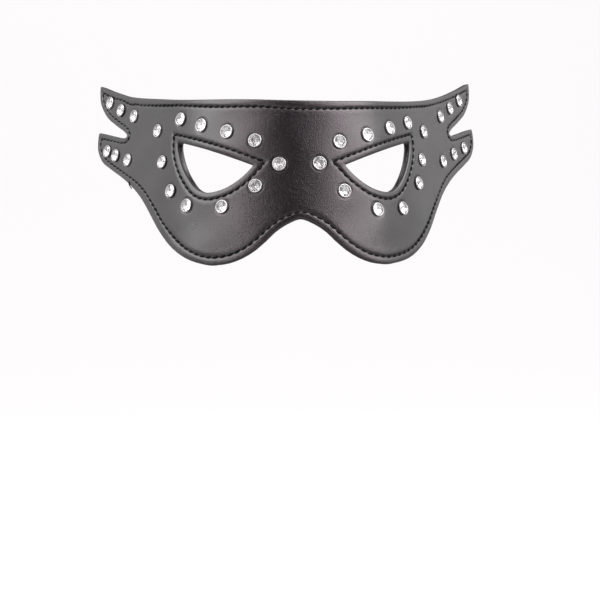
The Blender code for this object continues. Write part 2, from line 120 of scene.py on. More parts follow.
EYE_BOTTOM = [
    (0.993, 0.79), (0.94, 0.38), (0.865, 0.00), (0.765, -0.47), (0.67, -0.79), (0.58, -0.945),
    (0.51, -1.00), (0.415, -0.97), (0.30, -0.85), (0.18, -0.60), (0.085, -0.31),
]

# %% [markdown]
# A knife follows a smooth line between the corners of a pattern. A spline that passes
# through the drawn places does the same, and centripetal knots keep it from looping where
# the places are unevenly spaced. Corners stay corners, cut back by a small radius.

# %% Smooth lines and rounded corners
def slid(first, second, start, end, t):
    """Where a point is at t that moves from the first place at start to the second at end."""
    return first * ((end - t) / (end - start)) + second * ((t - start) / (end - start))


def smooth_line(stops, step, before=None, after=None):
    """A spline through flat places, sampled about a step apart, ends included."""
    stops = [np.array(stop, float) for stop in stops]
    first = 2 * stops[0] - stops[1] if before is None else np.array(before)
    last = 2 * stops[-1] - stops[-2] if after is None else np.array(after)
    knots = [first] + stops + [last]
    line = [stops[0]]
    for p0, p1, p2, p3 in zip(knots, knots[1:], knots[2:], knots[3:]):
        t1 = math.sqrt(np.linalg.norm(p1 - p0))
        t2 = t1 + math.sqrt(np.linalg.norm(p2 - p1))
        t3 = t2 + math.sqrt(np.linalg.norm(p3 - p2))
        count = max(1, math.ceil(np.linalg.norm(p2 - p1) / step))
        for t in np.linspace(t1, t2, count + 1)[1:]:
            a1, a2, a3 = slid(p0, p1, 0.0, t1, t), slid(p1, p2, t1, t2, t), slid(p2, p3, t2, t3, t)
            b1, b2 = slid(a1, a2, 0.0, t2, t), slid(a2, a3, t1, t3, t)
            line.append(slid(b1, b2, t1, t2, t))
    return np.array(line)


def rounded(line_in, line_out, radius):
    """Join two lines that meet in a corner, with a small arc in its place."""
    corner = line_in[-1]
    line_in, line_out = [
        line[np.linalg.norm(line - corner, axis=1) > radius] for line in (line_in, line_out)
    ]
    start, end = [
        corner + (place - corner) * radius / np.linalg.norm(place - corner)
        for place in (line_in[-1], line_out[0])
    ]
    bow = [(1 - t) ** 2 * start + 2 * t * (1 - t) * corner + t ** 2 * end for t in np.linspace(0, 1, 7)]
    return np.vstack([line_in, bow, line_out])


def between(start, end, rows):
    """The places that a table's shares give between two named places."""
    return [(start[0] + a * (end[0] - start[0]), start[1] + u * (end[1] - start[1])) for a, u in rows]


# %% The edge of the leather and of its eye openings
KNIFE_STEP = 0.6 * MM


def half_edge():
    """Right half of the edge, from the top of the brow round to the nose arch."""
    brow, upper_tip, nose = (0.0, BROW_RISE), (HALF_SPAN, TIP_RISE), (0.0, -NOSE_DROP)
    top = [brow] + between(brow, upper_tip, TOP_EDGE) + [upper_tip]
    tines = [upper_tip] + between(upper_tip, NOTCH, UPPER_TINE_EDGE) + [NOTCH]
    tines += between(NOTCH, LOWER_TIP, LOWER_TINE_EDGE) + [LOWER_TIP]
    cheek = [LOWER_TIP] + between(LOWER_TIP, LOBE, CHEEK_EDGE) + [LOBE]
    cheek += between(LOBE, nose, NOSE_EDGE) + [nose]
    top = smooth_line(top, KNIFE_STEP, before=(-top[1][0], top[1][1]))
    tines = smooth_line(tines, KNIFE_STEP)
    cheek = smooth_line(cheek, KNIFE_STEP, after=(-cheek[-2][0], cheek[-2][1]))
    return rounded(rounded(top, tines, TIP_ROUNDING), cheek, TIP_ROUNDING)


def kept(value):
    """A share kept between nothing and all."""
    return np.clip(value, 0.0, 1.0)


def uneven(points, side):
    """The right half has the longer wing, the fuller cheek and the lower brow."""
    s, z = points.T
    wing = np.maximum(0.0, (s - WING_ROOT) / (HALF_SPAN - WING_ROOT))
    cheek = kept((s - LOBE[0]) / CHEEK_FADE) * kept(-z / CHEEK_FADE)
    brow = kept(s / BROW_FADE) * kept((NOTCH[0] - s) / BROW_FADE) * kept(z / BROW_FADE)
    across = s + side * (WING_UNEVEN * wing + CHEEK_UNEVEN * cheek)
    return np.column_stack([side * across, z + side * (WING_LIFT * wing - BROW_UNEVEN * brow)])


def eye_edge(side, radius):
    """Edge of an eye opening, with the leather on the line's left."""
    def places(rows):
        rises = [EYE_OUTER_RISE if up > 0 else EYE_DROP for _, up in rows]
        return [(EYE_INNER[0] + a * EYE_LENGTH, u * rise) for (a, u), rise in zip(rows, rises)]

    outer = (EYE_INNER[0] + EYE_LENGTH, EYE_OUTER_RISE)
    top = smooth_line([EYE_INNER] + places(EYE_TOP) + [outer], KNIFE_STEP)
    bottom = smooth_line([outer] + places(EYE_BOTTOM) + [EYE_INNER], KNIFE_STEP)
    if radius > 0.0:
        lid = rounded(top, bottom, radius)
        low = int(np.argmin(lid[:, 1]))
        loop = rounded(lid[low:], lid[1:low], radius)
    else:
        loop = np.vstack([top, bottom[1:-1]])
    return loop if side > 0 else (loop * (-1.0, 1.0))[::-1]


half = half_edge()
EDGE = np.vstack([uneven(half, 1.0)[::-1], uneven(half, -1.0)[1:-1]])
EYES = [eye_edge(side, EYE_ROUNDING) for side in (-1.0, 1.0)]
print("edge has", len(EDGE), "points, each eye opening", len(EYES[0]))

# %% [markdown]
# On the bench the rivets go in last, by eye and by hand, so they follow a ring round each
# eye and a row along each tine only roughly. Each row below holds a place as shares of the
# pattern, then the small slip of the hand in millimetres, which is opposite on the two sides.

# %% Places of the rivets in the flat pattern
RING_MARGIN = 10.0 * MM
STRAP_OVERLAP, CAP_RADIUS, SEAT_GAP = 12.0 * MM, 2.6 * MM, 0.3 * MM
RING_RIVETS = [
    (-1.05, -0.03, 0.2, -0.15), (-0.72, 0.43, 0.75, 0.3), (-0.255, 0.62, 0.25, 0.75),
    (0.22, 0.80, 0.0, 0.6), (0.675, 0.975, -0.5, 0.75), (1.19, 0.83, 0.5, 0.3),
    (0.99, 0.185, 0.4, -0.35), (0.76, -0.38, -0.8, -1.6), (0.335, -0.82, 1.05, 0.9),
    (-0.23, -0.88, -0.5, 0.75), (-0.72, -0.51, 0.0, 1.15),
]
UPPER_TINE_RIVETS = [(0.21, 0.588, 0.3, 0.1), (0.47, 0.688, 0.1, -0.5), (0.71, 0.790, -1.0, -0.75)]
LOWER_TINE_RIVETS = [(0.20, 0.302, 3.15, 0.75), (0.485, 0.455, 1.75, 0.0), (0.725, 0.588, -1.15, -0.75)]
STRAP_RIVETS = (5, 6)


def ring_place(row):
    """A ring rivet's place before the hand slips."""
    s = EYE_INNER[0] + EYE_LENGTH / 2 + row[0] * (EYE_LENGTH / 2 + RING_MARGIN)
    height = (EYE_OUTER_RISE + EYE_DROP) / 2
    return s, EYE_OUTER_RISE - height + row[1] * (height + RING_MARGIN)


STRAP_START = np.mean([ring_place(RING_RIVETS[index]) for index in STRAP_RIVETS], axis=0)


def rivet_places(side):
    """All rivets of one side as (s, z, holds the strap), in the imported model's order."""
    slip = -side * MM
    found = []
    for index, row in enumerate(RING_RIVETS):
        s, z = ring_place(row)
        found.append((side * (s + row[2] * slip), z + row[3] * slip, index in STRAP_RIVETS))
    root = STRAP_START[0] + STRAP_OVERLAP + CAP_RADIUS + SEAT_GAP
    for rows, (reach, rise) in ((UPPER_TINE_RIVETS, (HALF_SPAN, TIP_RISE)), (LOWER_TINE_RIVETS, LOWER_TIP)):
        for along, up, slip_out, slip_up in rows:
            s = root + along * (reach - root) + slip_out * slip
            found.append((side * s, up * rise + slip_up * slip, False))
    return found


RIVETS = {"left": rivet_places(-1.0), "right": rivet_places(1.0)}
RIVET_SPOTS = np.array([(s, z) for places in RIVETS.values() for s, z, _ in places])
print("rivets:", len(RIVET_SPOTS))

# %% [markdown]
# Bending is one formula. In plan the leather runs round the brow on one radius, round the
# temple on a wider one, and then straight on along the wing. It also leans, top backwards,
# by the same angle all the way round. A point at (s, z, d) is walked along that plan, stood
# up and pushed out of the surface, so whatever is drawn flat lands in its place on the mask.

# %% Bend the flat pattern round the face
def plan(s):
    """Place and heading in plan of the leather's front at s, for s of either sign."""
    along = np.abs(s)
    brow = np.minimum(along, BROW_ARC) / BROW_RADIUS
    temple = np.clip(along - BROW_ARC, 0.0, TEMPLE_ARC) / TEMPLE_RADIUS
    straight = np.maximum(along - BROW_ARC - TEMPLE_ARC, 0.0)
    turn = brow + temple
    x = BROW_RADIUS * np.sin(brow) + TEMPLE_RADIUS * (np.sin(turn) - np.sin(brow))
    y = BROW_RADIUS * (1 - np.cos(brow)) + TEMPLE_RADIUS * (np.cos(brow) - np.cos(turn))
    return x + straight * np.cos(turn), y + straight * np.sin(turn), turn


def stand_up(x, y, turn, side, z, d):
    """Points in space from places in plan, heights and distances out of the front."""
    out_x, out_y = side * np.sin(turn), -np.cos(turn)
    reach = d * math.cos(LEAN) - z * math.tan(LEAN)
    space = np.column_stack([side * x + out_x * reach, y + out_y * reach, z + d * math.sin(LEAN)])
    return space + np.array(BRIDGE_FRONT)


def bent(flat):
    """Points of the flat pattern, as rows of s, z and d, where they lie on the bent mask."""
    s, z, d = np.asarray(flat, float).T
    return stand_up(*plan(s), np.where(s < 0, -1.0, 1.0), z, d)


nose_gap = np.abs(bent([(0.0, 0.0, -LEATHER_THICKNESS)])).max()
print("inner face of the bridge lies", round(nose_gap / MM, 4), "mm from the origin")

# %% [markdown]
# The seam runs beside every edge, about 3 mm in, and a little closer on the narrow tines.
# An offset line does this: each point of the edge steps inwards, and points that end up
# nearer than that to another stretch of edge are dropped, which trims the corners. The
# hand that fed this seam wandered, so two short tables move it by about a millimetre at
# most: places in millimetres along the leather, and how much farther in the seam lies.

# %% Lines that keep a distance from an edge
MITRE_LIMIT, TRIM_SLACK = 0.22, 0.03 * MM


def resampled(loop, spacing):
    """A closed line with evenly spaced points."""
    closed = np.vstack([loop, loop[:1]])
    run = np.concatenate([[0.0], np.cumsum(np.linalg.norm(np.diff(closed, axis=0), axis=1))])
    count = max(8, round(run[-1] / spacing))
    wanted = np.arange(count) * run[-1] / count
    return np.column_stack([np.interp(wanted, run, closed[:, axis]) for axis in (0, 1)])


def distance_from(spots):
    """A measure of how far points lie from the nearest of some spots."""
    tree = KDTree(len(spots))
    for index, (s, z) in enumerate(spots):
        tree.insert((s, z, 0.0), index)
    tree.balance()
    return lambda points: np.array([tree.find((s, z, 0.0))[2] for s, z in points])


def gap_to(loops, spacing=0.1 * MM):
    """A measure of how far points lie from some closed lines."""
    return distance_from(np.vstack([resampled(loop, spacing) for loop in loops]))


def offset_loop(loop, gap):
    """A closed line that keeps a gap from an edge, on the edge's left."""
    step = np.roll(loop, -1, axis=0) - loop
    step /= np.linalg.norm(step, axis=1)[:, None]
    ahead = np.column_stack([-step[:, 1], step[:, 0]])
    behind = np.roll(ahead, 1, axis=0)
    mitre = (ahead + behind) / np.maximum(1.0 + np.sum(ahead * behind, axis=1), MITRE_LIMIT)[:, None]
    moved = loop + mitre * np.broadcast_to(gap, len(loop))[:, None]
    return moved[gap_to([loop])(moved) > gap - TRIM_SLACK]


SEAM_INSET, TINE_INSET, EYE_INSET = 3.0 * MM, 2.4 * MM, 3.1 * MM

# Where the tines, the low edge and the top edge begin on the pattern, in millimetres
TINE_START, TINE_FADE, LOW_END = 85.0, 25.0, 12.0
TOP_START, TOP_BEND, TOP_SLOPE = 26.0, 100.0, 0.47

SEAM_WANDER_TOP = [
    (-135, 0.0), (-122, 0.6), (-114, 0.2), (-109.5, 0.7), (-105, 1.2), (-101, 0.4), (-96, 0.6),
    (-88, 0.2), (-65, -0.5), (-38, 0.4), (-18, 0.0), (0, 0.6),
    (20, 0.4), (45, 0.0), (75, -0.4), (100, 0.0), (135, 0.0),
]
SEAM_WANDER_LOW = [
    (-105, 0.0), (-88, 1.0), (-76, 1.2), (-62, 1.2), (-46, 0.4), (-32, 0.0), (88, 0.1), (100, 0.7),
    (130, 0.5),
]


def seam_inset(loop):
    """How far in the seam runs at each point of the edge."""
    s, z = loop.T / MM
    tine = kept((np.abs(s) - TINE_START) / TINE_FADE)
    top = z > TOP_START + np.maximum(0.0, np.abs(s) - TOP_BEND) * TOP_SLOPE
    wander = np.where(top, np.interp(s, *zip(*SEAM_WANDER_TOP)), 0.0)
    wander += np.where(z < LOW_END, np.interp(s, *zip(*SEAM_WANDER_LOW)), 0.0)
    return SEAM_INSET + (TINE_INSET - SEAM_INSET) * tine + wander * MM


SHARP_EYES = [eye_edge(side, 0.0) for side in (-1.0, 1.0)]


def seam_lines(shift):
    """The seams round the edge and both eyes, moved sideways by a shift."""
    lines = [offset_loop(EDGE, seam_inset(EDGE) + shift)]
    return lines + [offset_loop(eye, EYE_INSET + shift) for eye in SHARP_EYES]


SEAMS = seam_lines(0.0)
STITCH_PITCH = 3.33 * MM
seam_lengths = [np.linalg.norm(np.roll(line, -1, axis=0) - line, axis=1).sum() for line in SEAMS]
print("seams of", [round(length / MM) for length in seam_lengths], "mm")

# %% [markdown]
# Real leather is never a flat slab. Its cut edge is rounded, the border swells between the
# edge and the seam, the thread pulls a groove with a deeper dip at each hole, and every
# rivet sits in a dimple. Each of these is a small height added to the front, worked out
# from the distance to the edge, to the seam or to the nearest rivet.

# %% Heights of the front and the back of the leather
EDGE_ROUND, BACK_ROUND = 0.45 * MM, 0.20 * MM
BORDER_WIDTH, BORDER_SLOPE, EYE_SLOPE = 2.7 * MM, 0.05 * MM, 0.22 * MM
EYE_BORDER, WAVE_HEIGHT, WAVE_START = 4.0 * MM, 0.09 * MM, 3.0 * MM

# Humps and grooves: height, width and the place of the crest
BORDER_SWELL, SEAM_LIP = (0.06 * MM, 0.8 * MM, 1.9 * MM), (0.05 * MM, 0.7 * MM, 1.8 * MM)
SEAM_GROOVE, SEAM_PULL = (0.20 * MM, 0.50 * MM), (0.10 * MM, 1.1 * MM)
HOLE_DIP, BACK_GROOVE = (0.16 * MM, 0.40 * MM), (0.30 * MM, 0.55 * MM)

# Dimples under the rivets: depth, flat radius and spread
DIMPLE, BACK_DIMPLE = (0.16 * MM, 3.1 * MM, 1.1 * MM), (0.12 * MM, 2.6 * MM, 1.5 * MM)

hole_lines = [resampled(line, STITCH_PITCH) for line in SEAMS]
edge_gap, eye_gap, seam_gap = gap_to([EDGE] + EYES), gap_to(EYES), gap_to(SEAMS)
hole_gap, rivet_gap = distance_from(np.vstack(hole_lines)), distance_from(RIVET_SPOTS)
print("needle holes:", [len(line) for line in hole_lines])


def hump(distance, height, width, crest=0.0):
    """A soft ridge that is highest at the crest's distance."""
    return height * np.exp(-((distance - crest) / width) ** 2)


def edge_fall(distance, radius):
    """How much a rounded edge has fallen away at a distance from it."""
    return radius * (1.0 - np.sqrt(1.0 - kept(1.0 - distance / radius) ** 2))


def dimple(distance, depth, radius, spread):
    """Deepest under a rivet, easing to nothing over the spread round it."""
    share = kept((distance - radius) / spread)
    return depth * ((1.0 - share) ** 2 * (1.0 + 2.0 * share))


def waviness(points):
    """The slow, shallow unevenness of a hide."""
    s, z = points.T / MM
    wave = np.sin(0.19 * s + 0.9) * np.sin(0.23 * z + 0.4) + 0.6 * np.sin(0.11 * s - 0.31 * z + 1.7)
    return WAVE_HEIGHT * wave


def front_height(points):
    """Height of the front above its flat level."""
    edge, seam = edge_gap(points), seam_gap(points)
    height = waviness(points) * kept(edge / WAVE_START)
    height += hump(edge, *BORDER_SWELL)
    slope = np.where(eye_gap(points) < EYE_BORDER, EYE_SLOPE, BORDER_SLOPE)
    height -= slope * kept(1.0 - edge / BORDER_WIDTH) ** 1.3
    height += hump(seam, *SEAM_LIP)
    height -= hump(seam, *SEAM_GROOVE) + hump(seam, *SEAM_PULL)
    height -= hump(hole_gap(points), *HOLE_DIP)
    height -= dimple(rivet_gap(points), *DIMPLE)
    return height - edge_fall(edge, EDGE_ROUND)


def back_height(points):
    """Height of the back, measured from the front's flat level."""
    height = -LEATHER_THICKNESS + edge_fall(edge_gap(points), BACK_ROUND)
    height += hump(seam_gap(points), *BACK_GROOVE)
    return height + dimple(rivet_gap(points), *BACK_DIMPLE)


print("front under the first rivet:", round(front_height(RIVET_SPOTS[:1])[0] / MM, 2), "mm")

# %% [markdown]
# The mesh has to carry those heights, so its points follow them: rings beside every edge,
# lines along the groove, circles round each rivet, and an even spread elsewhere. Blender's
# constrained triangulation joins them and keeps the edges exactly. The back is coarser,
# shares the edge points, and a wall closes the two into one solid sheet.

# %% Scatter points where the leather needs them, at distances in millimetres
HOLE_RADIUS = 1.1 * MM
EDGE_RINGS = (0.04, 0.12, 0.25, 0.42, 0.70, 1.10)
GROOVE_LINES = (-1.3, -0.95, -0.65, -0.42, -0.22, 0.0, 0.22, 0.42, 0.65, 0.95, 1.3)
BACK_GROOVE_LINES = (-0.7, -0.3, 0.0, 0.3, 0.7)
DIMPLE_RINGS = (1.8, 2.5, 2.9, 3.2, 3.5, 3.8, 4.1, 4.5, 5.2)
BACK_EDGE_RINGS, BACK_DIMPLE_RINGS = (0.12, 0.45), (2.6, 4.1)


def circle(centre, radius, count):
    """A closed circle with the leather on its left, so it runs clockwise."""
    angles = -np.arange(count) * 2 * math.pi / count
    return np.array(centre) + radius * np.column_stack([np.cos(angles), np.sin(angles)])


def even_spread(spacing):
    """Rows of points, every other row shifted by half a step, over the whole pattern."""
    reach = HALF_SPAN + WING_UNEVEN
    rows = np.arange(LOBE[1], TIP_RISE + WING_LIFT, spacing * math.sqrt(0.75))
    columns = np.arange(-reach, reach, spacing)
    return np.vstack([
        np.column_stack([columns + spacing / 2 * (row % 2), np.full(len(columns), z)])
        for row, z in enumerate(rows)
    ])


def uncrowded(points, spacing):
    """Points with at most one in each small square."""
    _, first = np.unique(np.round(points / spacing).astype(int), axis=0, return_index=True)
    return points[np.sort(first)]


def leather_points(rings, grooves, groove_step, dimples, spacing):
    """Points for one face of the leather, none of them crowding an edge or the groove."""
    beside = np.vstack([
        resampled(offset_loop(loop, ring * MM), KNIFE_STEP) for loop in [EDGE] + EYES for ring in rings
    ])
    lines = [line for shift in grooves for line in seam_lines(shift * MM)]
    groove = np.vstack([resampled(line, groove_step) for line in lines])
    groove = groove[edge_gap(groove) > (rings[-1] + 0.15) * MM]
    spread = even_spread(spacing)
    loose = [spread[rivet_gap(spread) > (dimples[-1] + 0.5) * MM]]
    for radius in dimples:
        rim = np.vstack([circle(spot, radius * MM, 30) for spot in RIVET_SPOTS])
        loose.append(rim[rivet_gap(rim) > (radius - 0.05) * MM])
    loose = np.vstack(loose)
    away = edge_gap(loose) > (rings[-1] + 0.3) * MM
    away &= seam_gap(loose) > (grooves[-1] + 0.3) * MM
    points = uncrowded(np.vstack([beside, groove, loose[away]]), 0.2 * MM)
    return points[rivet_gap(points) > HOLE_RADIUS + 0.3 * MM]


FRONT_SPACING, BACK_SPACING, GROOVE_STEP = 1.25 * MM, 2.4 * MM, 0.48 * MM
leather_front = leather_points(EDGE_RINGS, GROOVE_LINES, GROOVE_STEP, DIMPLE_RINGS, FRONT_SPACING)
leather_back = leather_points(
    BACK_EDGE_RINGS, BACK_GROOVE_LINES, 2 * GROOVE_STEP, BACK_DIMPLE_RINGS, BACK_SPACING
)
print("points scattered on the front:", len(leather_front), "and on the back:", len(leather_back))


# %% Triangles over a flat shape with holes
def within(points, loop):
    """Which points lie inside a closed line, counted by crossings to one side."""
    close = np.all((points > loop.min(axis=0)) & (points < loop.max(axis=0)), axis=1)
    s, z = points[close].T[:, :, None]
    s1, z1 = loop.T
    s2, z2 = np.roll(loop, -1, axis=0).T
    spans = (z1 > z) != (z2 > z)
    with np.errstate(divide="ignore", invalid="ignore"):
        crossing = spans & (s < (s2 - s1) * (z - z1) / (z2 - z1) + s1)
    inside = np.zeros(len(points), bool)
    inside[close] = crossing.sum(axis=1) % 2 == 1
    return inside


def triangulated(loops, inner_points):
    """Triangles over a flat shape, and where each point of its edge lines has gone."""
    edges, count = [], 0
    for loop in loops:
        edges += [(count + i, count + (i + 1) % len(loop)) for i in range(len(loop))]
        count += len(loop)
    flat = [Vector(spot) for spot in np.vstack(loops + [inner_points]) / MM]
    verts, _, faces, origins, _, _ = delaunay_2d_cdt(flat, edges, [], 2, 1e-4)
    gone_to = {first: index for index, firsts in enumerate(origins) for first in firsts}
    placed = np.array([vert[:] for vert in verts]) * MM
    faces = np.array([tuple(face) for face in faces])
    middles = placed[faces].mean(axis=1)
    for loop in loops[1:]:
        faces, middles = faces[~within(middles, loop)], middles[~within(middles, loop)]
    used, faces = np.unique(faces, return_inverse=True)
    now_at = {old: new for new, old in enumerate(used.tolist())}
    return placed[used], faces.reshape(-1, 3).tolist(), [now_at[gone_to[i]] for i in range(count)]


# %% [markdown]
# A sheet is a front, a back and a wall. Both faces are flat shapes first, the wall joins
# their edges in a few rows, and only then is every point moved to its place in space. The
# flat places stay on the mesh as its pattern coordinates, for the grain to follow.

# %% Build a solid sheet from a front, a back and walls
def link(name, mesh):
    """Put a mesh into the scene as a named piece."""
    piece = bpy.data.objects.new(name, mesh)
    bpy.context.scene.collection.objects.link(piece)
    return piece


def add_values(mesh, name, values):
    """Store one number per point, for the finish to read."""
    mesh.attributes.new(name, "FLOAT", "POINT").data.foreach_set("value", np.asarray(values, float))


def close_and_smooth(mesh):
    """Turn the faces of a closed mesh outwards and smooth its look."""
    work = bmesh.new()
    work.from_mesh(mesh)
    if work.calc_volume(signed=True) < 0.0:
        bmesh.ops.reverse_faces(work, faces=work.faces)
    work.to_mesh(mesh)
    work.free()
    mesh.shade_smooth()


def make_sheet(name, loops, points, heights, place, rows, knife=None):
    """A solid sheet cut along loops; points and heights come for the front, then the back."""
    sides = [triangulated(loops, inner) for inner in points]
    flats = [np.column_stack([side[0], height(side[0])]) for side, height in zip(sides, heights)]
    if knife:
        flats[1][:, 0] -= knife(flats[1][:, :2])
    second = len(flats[0])
    faces = [tuple(face) for face in sides[0][1]]
    faces += [tuple(second + i for i in reversed(face)) for face in sides[1][1]]
    rims = [np.array(sides[0][2]), second + np.array(sides[1][2])]
    top, low = flats[0][sides[0][2]], flats[1][sides[1][2]]
    start = second + len(flats[1])
    layers = [rims[0]]
    for row in range(1, rows):
        flats.append(top + (low - top) * row / rows)
        layers.append(start + np.arange(len(top)))
        start += len(top)
    layers.append(rims[1])
    first = 0
    for loop in loops:
        ring = np.arange(first, first + len(loop))
        ahead = np.roll(ring, -1)
        for upper, lower in zip(layers, layers[1:]):
            faces += np.column_stack([upper[ring], lower[ring], lower[ahead], upper[ahead]]).tolist()
        first += len(loop)
    flat = np.vstack(flats)
    mesh = bpy.data.meshes.new(name)
    mesh.from_pydata(place(flat).tolist(), [], faces)
    corner = np.empty(len(mesh.loops), int)
    mesh.loops.foreach_get("vertex_index", corner)
    pattern = np.column_stack([flat[:, 0], flat[:, 1] + flat[:, 2]]) / (100 * MM)
    mesh.uv_layers.new(name="pattern").data.foreach_set("uv", pattern[corner].ravel())
    on_back = np.zeros(len(flat))
    on_back[second:second + len(flats[1])] = 1.0
    add_values(mesh, "back_side", on_back)
    close_and_smooth(mesh)
    return link(name, mesh), flat


# %% [markdown]
# The knife leaned a little on the outer side of each eye opening, so there the back of the
# leather reaches farther in than the front, and more of the cut edge shows.

# %% Cut the panel
KNIFE_SLANT, SLANT_SPREAD, SLANT_WIDTH = 0.9 * MM, 10.0 * MM, 3.0 * MM


def knife_slant(points):
    """How far along s the slanted knife moves each point of the back."""
    middles = np.array([eye.mean(axis=0) for eye in EYES])
    own = middles[(points[:, 0] > 0.0).astype(int)]
    outer = kept((np.abs(points[:, 0]) - np.abs(own[:, 0])) / SLANT_SPREAD)
    near = kept(1.0 - eye_gap(points) / SLANT_WIDTH)
    return np.sign(points[:, 0]) * KNIFE_SLANT * outer * near


holes = [circle(spot, HOLE_RADIUS, 16) for spot in RIVET_SPOTS]
cuts = [resampled(EDGE, 0.62 * MM)] + [resampled(eye, 0.55 * MM) for eye in EYES] + holes
leather, leather_flat = make_sheet(
    "leather_panel", cuts, (leather_front, leather_back), (front_height, back_height), bent, 4, knife_slant
)
for key, gap in {"edge_mm": edge_gap, "seam_mm": seam_gap, "rivet_mm": rivet_gap}.items():
    add_values(leather.data, key, gap(leather_flat[:, :2]) / MM)
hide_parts("mask_body")
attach(leather, "root")
print("leather panel:", len(leather.data.polygons), "faces")

# %% [markdown]
# The seam is a saddle stitch: thick waxed thread, one short stitch on the front and one on
# the back between each pair of holes. Every stitch dives into its hole at both ends and
# lies a little aslant, because the two needles cross in the hole. Out on the wings the
# thread is pulled tighter, so it looks thinner there and lies deeper.

# %% Stitches
THREAD_RADIUS, STITCH_SLANT, STITCH_SIDES = 0.50 * MM, 0.30 * MM, 8
STITCH_REACH = (0.05, 0.95)
STITCH_TAPER = np.array([0.34, 0.76, 1.00, 1.08, 1.00, 0.76, 0.34])
STITCH_DIP = np.array([0.36, 0.16, 0.04, 0.00, 0.04, 0.16, 0.36]) * MM
PULL, PULL_START, PULL_FADE, PULL_DEPTH = 0.36, 72.0 * MM, 26.0 * MM, 0.35
SLANT_SLIP, DEPTH_SLIP, WIDTH_SLIP = 0.05 * MM, 0.03 * MM, 0.04


def stitch_tube(count):
    """Faces and pattern coordinates of many stitches, each a tube closed at both ends."""
    spans, ring = len(STITCH_TAPER) - 1, np.arange(STITCH_SIDES)
    firsts = (np.arange(count) * (spans + 1) * STITCH_SIDES)[:, None, None]
    low = np.arange(spans * STITCH_SIDES)
    ahead = low - low % STITCH_SIDES + (low + 1) % STITCH_SIDES
    tube = np.column_stack([low, ahead, ahead + STITCH_SIDES, low + STITCH_SIDES])
    ends = np.stack([ring[::-1], spans * STITCH_SIDES + ring])
    faces = (firsts + tube).reshape(-1, 4).tolist() + (firsts + ends).reshape(-1, STITCH_SIDES).tolist()
    corner = np.column_stack([low // STITCH_SIDES, low % STITCH_SIDES])[:, None, :]
    one = (corner + np.array([(0, 0), (0, 1), (1, 1), (1, 0)])).reshape(-1, 2) / (spans, STITCH_SIDES)
    return faces, np.vstack([np.tile(one, (count, 1)), np.zeros((count * 2 * STITCH_SIDES, 2))])


def make_stitches(name, lines, level, up):
    """Short stitches between neighbouring holes; up is 1 on the front and -1 on the back."""
    start = np.vstack(lines)
    run = np.vstack([np.roll(line, -1, axis=0) for line in lines]) - start
    hand = np.random.default_rng(7 if up > 0 else 8).normal(0.0, 1.0, (len(start), 3))
    share = np.linspace(*STITCH_REACH, len(STITCH_TAPER))[None, :, None]
    along = run / np.linalg.norm(run, axis=1)[:, None]
    aside = np.column_stack([-along[:, 1], along[:, 0]])[:, None, :]
    swing = (share - 0.5) * (2 * STITCH_SLANT + SLANT_SLIP * hand[:, :1])[:, None, :]
    spine = start[:, None, :] + run[:, None, :] * share + aside * swing
    pulled = 1.0 - PULL * kept((np.abs(start[:, :1]) - PULL_START) / PULL_FADE)
    sunk = STITCH_DIP[None, :] + DEPTH_SLIP * hand[:, 1:2] + PULL_DEPTH * THREAD_RADIUS * (1.0 - pulled)
    height = level - up * sunk
    width = (pulled * (1.0 + WIDTH_SLIP * hand[:, 2:3]))[:, :, None]
    radius = THREAD_RADIUS * STITCH_TAPER[None, :, None] * width
    turn = np.arange(STITCH_SIDES) * 2 * math.pi / STITCH_SIDES
    flat = spine[:, :, None, :] + aside[:, :, None, :] * (radius * np.cos(turn))[..., None]
    out = height[:, :, None] + radius * np.sin(turn)
    points = np.concatenate([flat, out[..., None]], axis=3).reshape(-1, 3)
    faces, uv = stitch_tube(len(start))
    mesh = bpy.data.meshes.new(name)
    mesh.from_pydata(bent(points).tolist(), [], faces)
    mesh.uv_layers.new(name="pattern").data.foreach_set("uv", uv.ravel())
    close_and_smooth(mesh)
    piece = link(name, mesh)
    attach(piece, "root")
    return piece


THREAD_LEVEL = -0.08 * MM
BACK_THREAD_LEVEL = -LEATHER_THICKNESS + 0.06 * MM
stitches = [
    make_stitches("edge_stitching_front", hole_lines[:1], THREAD_LEVEL, 1.0),
    make_stitches("eye_stitching_left_front", hole_lines[1:2], THREAD_LEVEL, 1.0),
    make_stitches("eye_stitching_right_front", hole_lines[2:], THREAD_LEVEL, 1.0),
    make_stitches("edge_stitching_back", hole_lines[:1], BACK_THREAD_LEVEL, -1.0),
    make_stitches("eye_stitching_back", hole_lines[1:], BACK_THREAD_LEVEL, -1.0),
]
print("stitches on the front:", sum(len(line) for line in hole_lines))

# %% [markdown]
# One end of the thread was never trimmed. It comes out of the seam under the left wing and
# lies over the edge.

# %% A loose end of thread
loose = np.array([
    (-99.6, -2.0, 0.15), (-99.2, -3.0, 0.20), (-98.8, -3.9, 0.0), (-98.3, -4.6, -0.4),
    (-97.9, -5.2, -0.8),
]) * MM
curve = bpy.data.curves.new("loose_thread", "CURVE")
curve.dimensions = "3D"
curve.bevel_depth = 0.26 * MM
curve.bevel_resolution = 3
curve.use_fill_caps = True
strand = curve.splines.new("NURBS")
strand.points.add(len(loose) - 1)
for point, place in zip(strand.points, bent(loose)):
    point.co = (*place, 1.0)
strand.use_endpoint_u = True
strand.order_u = 4
path = bpy.data.objects.new("loose_thread_path", curve)
loose_thread = link("loose_thread_end", bpy.data.meshes.new_from_object(path))
bpy.data.objects.remove(path)
print("loose thread faces:", len(loose_thread.data.polygons))
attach(loose_thread, "root")
stitches.append(loose_thread)

# %% [markdown]
# Each stone is a small round brilliant: an eight-sided table, eight stars, eight kites and
# sixteen half facets above a thin girdle, and a shallow cone of facets below. The hull
# round a few well placed points gives exactly those planes. Behind it the setting carries
# a faceted silver foil, which is what makes such a cheap stone so bright.

